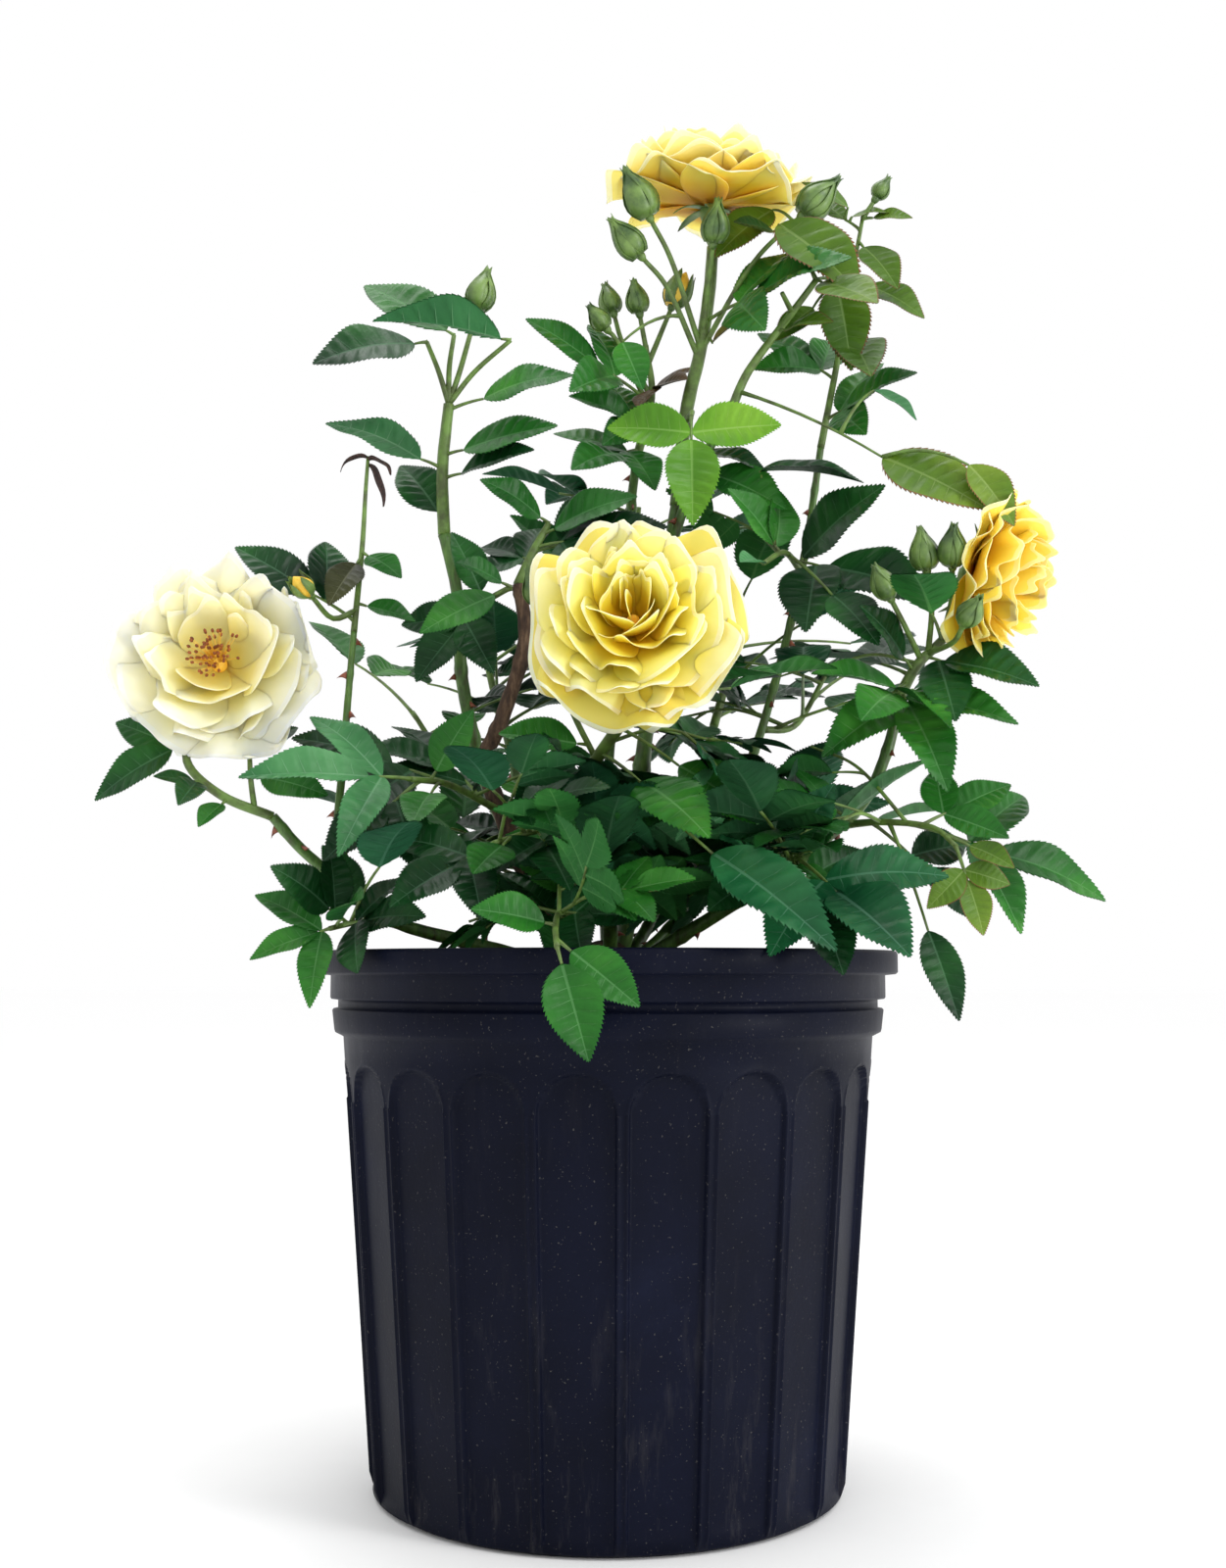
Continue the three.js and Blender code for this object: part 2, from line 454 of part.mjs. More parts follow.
// A whorl of petals: a shallow turned cup whose rim is scalloped once for each petal
function whorl(count, radius, foot, rim, hollow) {
  const sides = count * WHORL.stepsPerPetal;
  const profile = [
    [0, foot], [radius * 0.5, foot + (rim - foot) * 0.25], [radius, rim],
    [radius * 0.6, rim - hollow], [0, rim - hollow],
  ].map(([r, z]) => new THREE.Vector2(r, z));
  const geometry = new THREE.LatheGeometry(profile, sides).rotateX(Math.PI / 2);
  return moveVertices(geometry, (x, y, z) => {
    const share = Math.hypot(x, y) / radius;
    const bump = Math.cos(Math.atan2(y, x) * count) * share;
    const grow = 1 + WHORL.scallop * bump;
    return new THREE.Vector3(x * grow, y * grow, z + WHORL.wave * bump * (rim - foot));
  });
}

// A bloom: pedicel and calyx behind, then whorls of petals about the axis that it faces along
function bloom(spec, stemTip) {
  const axis = vec(spec.faces).normalize();
  const centre = vec(spec.centre);
  const turn = new THREE.Quaternion().setFromUnitVectors(UP, axis);
  const back = centre.clone().addScaledVector(axis, -spec.depth * 0.6);
  const bend = back.clone().addScaledVector(axis, -spec.depth * 0.45);
  const path = new THREE.QuadraticBezierCurve3(stemTip, bend, back.clone().addScaledVector(axis, 3));
  const parts = [limb(path, 2.4, 4.4, CANE_SIDES, 3)];
  let foot = 0;
  spec.whorls.forEach(([count, reach, rim], ring) => {
    const hollow = spec.depth * WHORL.hollow;
    const cup = whorl(count, spec.radius * reach, foot, rim * spec.depth, hollow);
    cup.rotateZ(ring * WHORL.twist);
    foot = rim * spec.depth - hollow - spec.depth * WHORL.sunk;
    moveVertices(cup, (x, y, z) => back.clone().add(new THREE.Vector3(x, y, z).applyQuaternion(turn)));
    parts.push(solidOf(cup));
  });
  return fused(parts);
}

// Pot: one turned wall and floor with arched flutes pressed into its side
function potOuter() {
  const h = POT.height;
  return [
    [0, 0], [POT.foot - POT.corner * 0.7, 0], [POT.foot, POT.corner],
    [POT.shoulder, h - POT.bandDrop - 2], [POT.bandFoot, h - POT.bandDrop], [POT.band, h - POT.grooveDrop],
    [POT.groove, h - POT.grooveDrop], [POT.groove, h - POT.stepDrop], [POT.step, h - POT.stepDrop],
    [POT.step, h - POT.rimDrop], [POT.rim, h - POT.rimDrop], [POT.rim, h],
  ];
}

function potInner(gap = 0) {
  const h = POT.height;
  const wall = POT.wall + gap;
  return [
    [POT.rim - wall, h], [POT.rim - wall, h - POT.rimDrop + wall], [POT.step - wall, h - POT.rimDrop + wall],
    [POT.shoulder - wall, h - POT.bandDrop + 2], [POT.foot - POT.corner - gap, wall], [0, wall],
  ];
}

// A flute is a flat arched panel, set in by its depth at the middle and leaning with the wall
function flute(index) {
  const half = FLUTE.width / 2;
  const outline = new THREE.Shape();
  outline.moveTo(-half * 0.9, 0);
  outline.lineTo(half * 0.9, 0);
  outline.lineTo(half, FLUTE.top - POT.corner - half);
  outline.absarc(0, FLUTE.top - POT.corner - half, half, 0, Math.PI, false);
  const geometry = new THREE.ExtrudeGeometry(outline, {
    depth: FLUTE.reach, bevelEnabled: false, curveSegments: FLUTE.arcSteps, steps: 1,
  });
  const taper = Math.atan((POT.shoulder - POT.foot) / (POT.height - POT.bandDrop - 2 - POT.corner));
  geometry.rotateX(Math.PI / 2 + taper);
  geometry.translate(0, -(POT.foot - FLUTE.depth), POT.corner + 1);
  geometry.rotateZ(radians(FLUTE.offset + (360 / FLUTE.count) * index));
  return solidOf(geometry);
}

function pot() {
  const body = lathe([...potOuter(), ...potInner()], POT.sides, radians(FLUTE.offset));
  const flutes = Array.from({ length: FLUTE.count }, (_, i) => flute(i));
  return mainBody(body.subtract(wasm.Manifold.union(flutes)));
}

function soil() {
  const inner = potInner(CLEAR).filter(([, z]) => z < SOIL_LEVEL).reverse();
  const surface = [[POT.shoulder - POT.wall, SOIL_LEVEL], [0, SOIL_LEVEL]];
  return lathe([...inner, ...surface], POT.sides, radians(FLUTE.offset));
}

function crown(grow = 0) {
  const foot = SOIL_LEVEL + CLEAR - grow;
  return lathe([
    [0, foot], [CROWN.flare + grow, foot], [CROWN.waist + grow, foot + CROWN.height * 0.3],
    [CROWN.knuckle + grow, foot + CROWN.height * 0.6],
    [CROWN.waist * 0.75 + grow, foot + CROWN.height * 0.95 + grow], [0, foot + CROWN.height + 2 * grow],
  ], CROWN.sides);
}

// Everything that is finished, with the mass it belongs to, to test later pieces against
const placed = [];

function boxesApart(a, b, gap) {
  return [0, 1, 2].some((axis) => a.min[axis] > b.max[axis] + gap || b.min[axis] > a.max[axis] + gap);
}

function remember(solid, owner, kind) {
  placed.push({ solid, owner, kind, box: solid.boundingBox() });
}

// True when a piece keeps its gap to all that is placed, apart from what it grows on
function isClear(solid, excuse) {
  const box = solid.boundingBox();
  return placed.every((other) => excuse(other) || boxesApart(box, other.box, LEAF_CLEAR)
    || solid.minGap(other.solid, LEAF_CLEAR * 2) >= LEAF_CLEAR);
}

function insideReach(solid) {
  const { min, max } = solid.boundingBox();
  return Math.max(-min[0], max[0]) < CROWN_REACH.x && Math.max(-min[1], max[1]) < CROWN_REACH.y
    && max[2] < CROWN_REACH.top && min[2] > CROWN_REACH.bottom;
}

function pathSteps(points) {
  return Math.max(2, Math.round((points.length - 1) * 1.5));
}

// Canes, each cut clear of the crown and of the canes before it
const canePaths = {};
const limbGrown = [crown(CLEAR)];
const nodes = [];

function addLimb(name, path, radii, sides, steps) {
  let solid = limb(path, radii[0], radii[1], sides, steps);
  for (const earlier of limbGrown) {
    if (!boxesApart(solid.boundingBox(), earlier.boundingBox(), 0)) {
      solid = mainBody(solid.subtract(earlier));
    }
  }
  limbGrown.push(limb(path, radii[0], radii[1], sides, steps, CLEAR));
  remember(solid, name, "limb");
  return solid;
}

const potSolid = pot();
const soilSolid = soil();
const crownSolid = crown();
remember(potSolid, "pot", "limb");
remember(soilSolid, "soil", "limb");
remember(crownSolid, "crown", "limb");
nodes.push({ name: "pot", solid: potSolid, color: COLOURS.pot, roughness: 0.55 });
nodes.push({ name: "soil", solid: soilSolid, color: COLOURS.soil, roughness: 0.95 });
nodes.push({ name: "crown", solid: crownSolid, color: COLOURS.crown, roughness: 0.85 });

for (const { name, radii, bends } of CANES) {
  canePaths[name] = smoothPath(bends);
  const solid = addLimb(name, canePaths[name], radii, CANE_SIDES, pathSteps(bends));
  nodes.push({ name, solid, color: name === "cane_old" ? COLOURS.oldCane : COLOURS.cane, roughness: 0.6 });
}

// Stems of the foliage next, so that blooms and leaves keep clear of every one of them
for (const mass of FOLIAGE) {
  const start = canePaths[mass.cane].getPointAt(mass.share);
  const stemPoints = [start.toArray(), ...mass.stem];
  mass.paths = [smoothPath(stemPoints)];
  mass.parts = [addLimb(mass.name, mass.paths[0], mass.radii, TWIG_SIDES, pathSteps(stemPoints))];
}

for (const spec of BLOOMS) {
  const mass = FOLIAGE.find((entry) => entry.name === spec.foliage);
  const stemTip = mass.paths[0].getPointAt(1);
  let solid = bloom(spec, stemTip);
  for (const earlier of limbGrown) {
    if (!boxesApart(solid.boundingBox(), earlier.boundingBox(), 0)) {
      solid = mainBody(solid.subtract(earlier));
    }
  }
  remember(solid, spec.name, "limb");
  nodes.push({ name: spec.name, solid, color: COLOURS.petal, roughness: 0.6 });
}

// Twigs with their buds, thinned to what keeps clear
for (const mass of FOLIAGE) {
  for (const twig of mass.twigs) {
    const start = mass.paths[0].getPointAt(twig.share);
    const points = [start.toArray(), ...twig.points];
    const path = smoothPath(points);
    mass.paths.push(path);
    const wood = limb(path, 1.5, 1.1, TWIG_SIDES, pathSteps(points));
    const excuse = (other) => other.owner === mass.name;
    if (isClear(wood, excuse)) {
      mass.parts.push(wood);
      remember(wood, mass.name, "twig");
      if (twig.bud > 0) {
        const tip = bud(path.getPointAt(1), path.getTangentAt(1), twig.bud);
        if (isClear(tip, excuse)) {
          mass.parts.push(tip);
          remember(tip, mass.name, "bud");
        }
      }
    }
  }
}

// Leaves: the ones with a stated tip first, then the ones that the golden angle deals round each stem
const NUDGES = [[0, 0], [6, 0], [-6, 0], [0, 6], [0, -6], [10, 5], [-10, 5], [10, -5], [-10, -5]];

function turned(root, tip, [swing, lift]) {
  const chord = tip.clone().sub(root);
  const across = new THREE.Vector3().crossVectors(chord, UP).normalize();
  chord.applyAxisAngle(UP, radians(swing)).applyAxisAngle(across, radians(lift));
  return root.clone().add(chord);
}

function upperSide(faces, facing) {
  const turn = radians(faces);
  return UP.clone().multiplyScalar(Math.cos(turn)).addScaledVector(facing, Math.sin(turn));
}

function addLeaf(mass, limbIndex, share, tip, length, pairs, splay, toward, seed) {
  const root = mass.paths[limbIndex].getPointAt(share);
  let best = null;
  for (const nudge of NUDGES) {
    const leaf = compoundLeaf(root, turned(root, tip, nudge), length, pairs, splay, toward, seeded(seed));
    const own = (other) => other.owner === mass.name && (other.kind === "limb" || other.kind === "twig");
    if (!isClear(leaf.stalk, own) || !insideReach(leaf.stalk)) continue;
    const kept = leaf.leaflets.filter((blade) => insideReach(blade) && isClear(blade, () => false));
    if (!best || kept.length > best.kept.length) best = { stalk: leaf.stalk, kept };
    if (best.kept.length === leaf.leaflets.length) break;
  }
  if (!best) return;
  remember(best.stalk, mass.name, "stalk");
  best.kept.forEach((blade) => remember(blade, mass.name, "leaflet"));
  mass.parts.push(best.stalk, ...best.kept);
}

FOLIAGE.forEach((mass, index) => {
  mass.leaves.forEach(([limbIndex, share, tip, length, pairs, faces, , splay = LEAF.splay], row) => {
    const toward = upperSide(faces, TO_VIEWER);
    addLeaf(mass, limbIndex, share, vec(tip), length, pairs, splay, toward, index * 1000 + row);
  });
});
FOLIAGE.forEach((mass, index) => {
  const draw = seeded(index * 7919 + 17);
  for (let i = 0; i < mass.fill; i += 1) {
    const share = (i + 0.6) / mass.fill;
    const azimuth = radians(GOLDEN_ANGLE * i + 40 * index + 24 * (draw() - 0.5));
    const elevation = radians(4 + 34 * draw());
    const reach = 84 + 34 * draw();
    const root = mass.paths[0].getPointAt(share);
    const outward = new THREE.Vector3(Math.cos(azimuth), Math.sin(azimuth), 0);
    const tip = root.clone().addScaledVector(outward, reach * Math.cos(elevation))
      .addScaledVector(UP, reach * Math.sin(elevation));
    const toward = upperSide(45, outward);
    const length = 42 + 10 * draw();
    const pairs = i % 3 === 0 ? 2 : 1;
    addLeaf(mass, 0, share, tip, length, pairs, LEAF.splay, toward, index * 1000 + 500 + i);
  }
});

for (const mass of FOLIAGE) {
  const solid = fused(mass.parts);
  const tone = mass.leaves.length > 0 ? mass.leaves[0][6] : "dark";
  nodes.push({ name: mass.name, solid, color: TONES[tone], roughness: 0.5 });
}

const group = new THREE.Group();
for (const { name, solid, color, roughness } of nodes) {
  const material = new THREE.MeshStandardMaterial({ color, roughness, metalness: 0 });
  const mesh = new THREE.Mesh(geometryOf(solid), material);
  mesh.name = name;
  group.add(mesh);
}

export default group;
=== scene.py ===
# A rose bush with four yellow blooms in a ribbed black nursery pot: its looks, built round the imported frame.
# Sizes in the tables and functions are millimetres, and the pieces are written in metres. +Z is up, the
# origin is the centre of the pot's flat underside, and the viewer stands on the -Y side.
import math
from itertools import product

import bpy
import numpy as np
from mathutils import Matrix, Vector
from mathutils.bvhtree import BVHTree


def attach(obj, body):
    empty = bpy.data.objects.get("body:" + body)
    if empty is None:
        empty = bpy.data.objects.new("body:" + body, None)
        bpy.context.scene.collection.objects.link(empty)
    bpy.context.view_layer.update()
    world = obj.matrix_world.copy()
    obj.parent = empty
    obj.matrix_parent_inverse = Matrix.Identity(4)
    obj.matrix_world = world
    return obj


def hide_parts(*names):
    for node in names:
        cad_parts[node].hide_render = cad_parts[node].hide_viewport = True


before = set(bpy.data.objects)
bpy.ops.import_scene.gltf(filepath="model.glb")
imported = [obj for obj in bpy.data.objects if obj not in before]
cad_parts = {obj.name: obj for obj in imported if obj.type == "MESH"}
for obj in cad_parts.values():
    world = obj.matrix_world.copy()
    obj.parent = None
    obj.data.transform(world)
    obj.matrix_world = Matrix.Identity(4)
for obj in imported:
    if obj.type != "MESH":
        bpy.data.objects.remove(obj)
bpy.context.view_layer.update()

# Driving dimensions, as in the part's source
MM = 0.001
POT = {
    "height": 250, "rim": 139, "rim_drop": 11, "step": 133, "step_drop": 22.5, "groove": 129.3,
    "groove_drop": 27, "band": 132, "band_foot": 130.5, "band_drop": 38, "shoulder": 126.6, "foot": 111,
    "corner": 8, "wall": 3,
}
FLUTE = {
    "count": 20, "offset": -6, "width": 34, "top": 197.5, "bottom": 6, "depth": 2.9, "edge": 0.9, "bead": 0.8,
}
SOIL_LEVEL = 225
CROWN = {"flare": 17, "waist": 12.5, "knuckle": 16, "height": 30}
LEAF = {"splay": 60, "lean": 8, "shortest_stalk": 5}
STALK = {"heel": 1.35, "root": 1.0, "tip": 0.62, "bulge": 0.04}
TWIG_RADII = (1.5, 1.15)
GOLDEN_ANGLE = 137.5
CROWN_REACH = {"x": 240, "y": 170, "top": 670, "bottom": 202}

# Where a leaf's pairs of side leaflets stand on its stalk, by how many pairs it has, and their sizes
PAIR_PLACES = [[], [0.72], [0.76, 0.42]]
PAIR_SIZES = [0.92, 0.78]

# The turns that the source tries for a leaf whose place is taken: degrees round the upright and degrees up
NUDGES = [(0, 0), (6, 0), (-6, 0), (0, 6), (0, -6), (10, 5), (-10, 5), (10, -5), (-10, -5)]

# The leaves that the rule deals round a stem: the low end and the spread of their climb in degrees, of their
# reach and of their length, how far they face outward, how far those of the next mass are turned, and by how
# much each may turn, all in degrees
FILL = {"climb": (4, 34), "reach": (84, 34), "length": (42, 10), "faces": 45, "turn": 40, "jitter": 24}

# Seeds of what is dealt in the scene alone
SEEDS = {
    "mix": 4111, "cane_bark": 700, "crown_bark": 915, "thorns": 3100, "fine_blades": 51, "small_blades": 52,
    "thinning": 2024, "single_leaves": 8080, "calyces": 909, "bloom_stalks": 31, "stamens": 77,
}

# The same limbs, masses of foliage and blooms as in the part's source, row for row, but for a few tones. A
# mass's row is its name, its cane, the share of the cane where its stem starts, the stem's radii, how many
# leaves the rule adds, its stem, its twigs and its leaves. A twig's row is the share of the stem where it
# starts, its points and the length of its bud, or 0. A leaf's row is its limb, the share of that limb where
# it starts, its tip, the length of its end leaflet, its pairs of side leaflets, how far it faces the viewer
# in degrees, its tone and, in some, its splay
CANES = [
    {"name": "cane_" + name, "radii": radii, "bends": bends}
    for name, radii, bends in [
        ("centre", (4.8, 3.6),
         [(2, 0, 240), (9, -4, 262), (12, -6, 307), (19, -4, 360), (28, -4, 429), (34, -6, 470)]),
        ("front", (4.2, 3.0),
         [(0, -5, 240), (1, -24, 262), (-4, -34, 287), (-14, -46, 309), (-17, -54, 319), (-9, -64, 331)]),
        ("old", (5.0, 3.6),
         [(-6, -4, 240), (-24, -8, 252), (-40, -10, 288), (-55, -16, 325), (-59, -20, 342), (-50, -24, 363),
          (-40, -26, 398), (-43, -24, 426)]),
        ("left_tall", (4.4, 3.2),
         [(-4, 3, 240), (-16, 10, 254), (-34, 15, 282), (-59, 16, 329), (-72, 4, 381), (-74, -4, 422),
          (-81, -8, 455)]),
        ("left_low", (4.2, 2.6),
         [(-6, -3, 238), (-36, -10, 246), (-66, -18, 254), (-103, -29, 265), (-138, -45, 293),
          (-154, -54, 311)]),
        ("left_thin", (2.4, 1.7),
         [(-121, -35, 279), (-126, -38, 309), (-125, -38, 332), (-123, -36, 368), (-121, -34, 401)]),
        ("right", (4.0, 2.8),
         [(7, -2, 240), (40, -8, 260), (66, -16, 276), (86, -26, 289), (104, -34, 304), (121, -38, 321),
          (132, -40, 346), (136, -41, 367)]),
        ("right_thin", (3.0, 2.0),
         [(6, 4, 240), (35, 18, 268), (57, 26, 315), (75, 26, 354), (92, 20, 414), (100, 14, 453),
          (108, 12, 505)]),
        ("centre_right", (3.0, 2.4), [(31, -5, 450), (44, -16, 485), (60, -22, 513)]),
        ("centre_left", (3.4, 2.6),
         [(4, 6, 240), (14, 16, 300), (20, 16, 380), (12, 16, 463), (14, 12, 498)]),
        ("back_left", (3.6, 2.6), [(-4, 7, 240), (-24, 32, 276), (-44, 56, 326), (-54, 64, 366)]),
        ("back_right", (3.6, 2.6), [(5, 8, 240), (30, 42, 280), (48, 62, 330), (56, 68, 370)]),
        ("back", (3.4, 2.6), [(0, 8, 240), (-2, 36, 286), (0, 58, 346), (6, 64, 400)]),
    ]
]

FOLIAGE = [
    {"name": "foliage_" + name, "cane": "cane_" + cane, "share": share, "radii": radii, "fill": fill,
     "stem": stem, "twigs": twigs, "leaves": leaves}
    for name, cane, share, radii, fill, stem, twigs, leaves in [
        ("left_bloom", "left_low", 1, (2.3, 1.7), 0,
         [(-176, -62, 320), (-193, -58, 336), (-192, -48, 357), (-190, -46, 371)],
         [(0.1, [(-164, -56, 328), (-166, -50, 340)], 0)],
         [(0, 0.7, (-236, -60, 320), 42, 1, 60, "dark"), (0, 0.4, (-204, -74, 328), 28, 1, 45, "dark"),
          (0, 0.25, (-182, -80, 305), 32, 0, 50, "mid"), (1, 1, (-146, -40, 356), 34, 0, 55, "dark"),
          (1, 0.6, (-128, -62, 322), 38, 0, 60, "mid")]),
        ("low_left", "left_low", 0.62, (1.7, 1.2), 4,
         [(-108, -46, 264), (-115, -64, 262), (-122, -84, 259)], [],
         [(0, 1, (-155, -95, 246), 40, 1, 55, "mid"), (0, 0.7, (-144, -100, 286), 36, 1, 60, "dark"),
          (0, 0.4, (-129, -60, 298), 32, 0, 50, "dark"), (0, 0.8, (-80, -104, 266), 36, 1, 55, "dark"),
          (0, 0.9, (-104, -120, 272), 34, 0, 55, "mid")]),
        ("left_thin", "left_thin", 1, (1.7, 0.9), 0, [(-118, -32, 442), (-117, -30, 471), (-116, -30, 488)],
         [(0.12, [(-130, -42, 406), (-138, -54, 414)], 17)],
         [(0, 0.06, (-177, -40, 442), 44, 1, 50, "dark"), (0, 0.45, (-97, -50, 425), 34, 0, 50, "mid"),
          (0, 0.16, (-92, -30, 408), 34, 0, 50, "mid"), (0, 0.42, (-130, -54, 412), 34, 0, 75, "rust")]),
        ("left_mid", "old", 0.45, (2.0, 1.4), 3, [(-73, -50, 326), (-88, -75, 326)], [],
         [(0, 1, (-159, -105, 326), 58, 1, 50, "pale"), (0, 0.8, (-62, -72, 358), 42, 0, 70, "mid"),
          (0, 0.9, (-124, -92, 288), 38, 1, 60, "dark"), (0, 0.5, (-144, -60, 350), 48, 1, 50, "dark"),
          (0, 0.7, (-84, -106, 306), 36, 0, 50, "mid"), (0, 0.35, (-46, -62, 341), 34, 0, 50, "dark")]),
        ("left_top", "left_tall", 1, (3.2, 2.7), 0, [(-82, -10, 487), (-79, -12, 520)],
         [(1, [(-84, -13, 536), (-90, -14, 551)], 0), (1, [(-79, -12, 538), (-77, -10, 556)], 0),
          (1, [(-73, -11, 540), (-66, -10, 568)], 24), (1, [(-66, -14, 536), (-48, -22, 549)], 0)],
         [(1, 1, (-142, -40, 534), 54, 0, 55, "dark"), (2, 1, (-125, 10, 592), 58, 0, 45, "mid"),
          (4, 1, (-112, -52, 547), 66, 0, -10, "pale"), (0, 0.95, (-18, -25, 533), 46, 0, 50, "mid"),
          (0, 0.6, (-25, -30, 505), 50, 0, 50, "mid"), (0, 0.5, (-134, -45, 503), 52, 0, -8, "pale"),
          (0, 0.42, (-38, -38, 490), 42, 0, 50, "dark"), (0, 0.12, (-106, 12, 498), 42, 0, 60, "dark")]),
        ("left_inner", "left_tall", 0.82, (2.0, 1.4), 0, [(-59, -28, 417), (-46, -42, 421)], [],
         [(0, 0.9, (-88, -52, 398), 42, 0, 50, "mid"), (0, 1, (-70, -58, 430), 32, 0, 55, "dark"),
          (0, 0.6, (-74, -38, 449), 34, 0, 50, "dark"), (0, 0.7, (-44, -56, 380), 38, 1, 60, "dark"),
          (0, 0.3, (-92, -26, 378), 38, 1, 50, "dark")]),
        ("old", "old", 1, (3.2, 1.6), 0, [(-36, -20, 444), (-29, -18, 458)], [],
         [(0, 1, (-60, -37, 476), 38, 0, 55, "mid"), (0, 0.8, (12, -36, 470), 44, 0, 50, "mid"),
          (0, 0.6, (28, -40, 452), 48, 1, 55, "dark"), (0, 0.4, (-64, 2, 452), 34, 1, 50, "dark")]),
        ("centre_left", "centre_left", 1, (2.5, 1.5), 0, [(22, 8, 530), (19, 4, 556)],
         [(0.8, [(16, 0, 570)], 19), (0.55, [(8, 6, 556), (3, 7, 573)], 19),
          (0.45, [(6, 0, 554), (0, -3, 561)], 17), (0.85, [(32, 6, 576)], 24)],
         [(0, 0.5, (-40, -20, 562), 44, 1, 50, "mid"), (0, 0.1, (-17, -30, 484), 42, 1, 55, "mid"),
          (0, 0.62, (34, -22, 527), 28, 1, 70, "red"), (0, 0.3, (-20, 0, 528), 36, 1, 50, "mid")]),
        ("centre_top", "centre", 1, (3.5, 3.0), 0,
         [(39, -6, 518), (46, -4, 549), (51, -2, 581), (53, 0, 606)],
         [(0.56, [(30, -14, 578), (17, -20, 592)], 25), (0.6, [(32, -18, 590), (21, -24, 610)], 28),
          (0.64, [(52, -20, 598)], 23), (0.58, [(72, -12, 592), (96, -14, 616)], 28),
          (0.3, [(41, -24, 512), (40, -34, 506)], 0)],
         [(5, 1, (40, -50, 450), 46, 1, 75, "bright", 96), (0, 0.7, (122, -42, 576), 54, 1, 50, "mid"),
          (4, 0.85, (62, -30, 607), 30, 0, 55, "dark")]),
        ("upper_right", "centre_right", 1, (2.4, 1.6), 0, [(69, -24, 533), (89, -30, 559), (101, -36, 574)],
         [(0.75, [(84, -40, 566)], 0)],
         [(0, 0.14, (174, -76, 451), 58, 1, 60, "olive"), (0, 1, (125, -72, 550), 52, 0, 65, "olive"),
          (0, 0.6, (106, -54, 548), 30, 0, 55, "olive")]),
        ("right_thin", "right_thin", 1, (2.0, 1.0), 0, [(118, 6, 557), (123, 2, 587), (129, -2, 620)],
         [(1, [(135, -4, 629)], 15)],
         [(0, 0.5, (126, -44, 528), 48, 0, 60, "olive"), (0, 0.9, (144, -20, 579), 34, 0, 55, "olive"),
          (0, 0.74, (159, -10, 568), 34, 0, 50, "olive"), (0, 0.12, (151, -22, 534), 42, 1, 50, "mid"),
          (0, 1, (153, -10, 619), 20, 0, 50, "olive"), (0, 0.95, (108, 14, 637), 22, 0, 50, "olive"),
          (0, 0.3, (78, 26, 572), 40, 1, 40, "mid")]),
        ("right_inner", "right_thin", 0.78, (1.8, 1.3), 0, [(86, -20, 443), (74, -40, 433)], [],
         [(0, 0.3, (150, -52, 418), 60, 1, 60, "dark"), (0, 0.2, (131, -25, 478), 54, 0, 50, "dark"),
          (0, 0.7, (58, -40, 470), 36, 1, 50, "mid"), (0, 1, (62, -64, 430), 36, 0, 60, "pale"),
          (0, 0.5, (124, -66, 392), 40, 0, 60, "dark")]),
        ("right", "right", 1, (2.8, 2.0), 2, [(145, -43, 383), (153, -44, 391), (163, -46, 401)],
         [(0.5, [(138, -54, 400), (131, -60, 411)], 20), (0.6, [(150, -58, 408), (147, -64, 423)], 22),
          (0.8, [(159, -60, 412), (158, -68, 424)], 22), (0.6, [(158, -66, 390), (161, -74, 396)], 19)],
         [(0, 0.55, (198, -62, 370), 46, 1, 50, "dark"), (0, 0.1, (151, -84, 321), 60, 1, 60, "mid"),
          (0, 0.2, (112, -96, 352), 44, 1, 60, "mid"), (0, 0.35, (112, -66, 404), 36, 0, 60, "dark"),
          (0, 0.9, (186, -14, 398), 32, 0, 45, "dark")]),
        ("right_low", "right", 0.66, (1.9, 1.1), 4, [(125, -60, 308), (144, -80, 304), (152, -92, 295)], [],
         [(0, 0.55, (229, -60, 276), 58, 1, 45, "mid"), (0, 1, (163, -98, 256), 25, 1, 60, "olive"),
          (0, 0.9, (175, -104, 286), 22, 0, 55, "olive"), (0, 0.45, (149, -110, 220), 44, 1, 60, "dark"),
          (0, 0.3, (172, -52, 262), 36, 1, 50, "dark"), (0, 0.7, (184, -62, 326), 34, 1, 50, "mid")]),
        ("right_front", "right", 0.4, (2.0, 1.4), 4, [(74, -50, 284), (84, -82, 290)], [],
         [(0, 1, (120, -142, 238), 56, 1, 60, "blue"), (0, 0.85, (98, -92, 322), 44, 0, 60, "blue"),
          (0, 0.7, (126, -84, 266), 38, 1, 55, "dark"), (0, 0.95, (86, -142, 246), 40, 0, 60, "dark"),
          (0, 0.6, (44, -100, 268), 38, 1, 60, "dark")]),
        ("front", "front", 1, (3.0, 2.6), 2, [(3, -80, 346), (14, -94, 361)],
         [(0.16, [(-18, -76, 362), (-30, -86, 402)], 20)],
         [(0, 0.25, (42, -132, 298), 52, 0, 55, "mid"), (0, 0.1, (92, -152, 250), 74, 0, 60, "blue"),
          (0, 0.6, (66, -104, 306), 44, 0, 55, "mid"), (1, 0.1, (-49, -78, 346), 36, 0, 55, "mid"),
          (1, 0.6, (-48, -76, 380), 30, 0, 55, "dark")]),
        ("front_low", "front", 0.3, (1.9, 1.2), 3,
         [(-12, -66, 264), (-20, -110, 265), (-21, -140, 258), (-20, -153, 250)], [],
         [(0, 1, (-7, -169, 205), 42, 0, 70, "mid"), (0, 0.86, (-54, -152, 266), 34, 0, 60, "mid"),
          (0, 0.96, (12, -160, 226), 36, 0, 60, "mid"), (0, 0.6, (20, -124, 262), 36, 1, 50, "dark"),
          (0, 0.35, (-56, -98, 262), 36, 1, 50, "dark")]),
        ("front_left", "front", 0.72, (1.9, 1.3), 4, [(-33, -70, 303), (-50, -90, 296)], [],
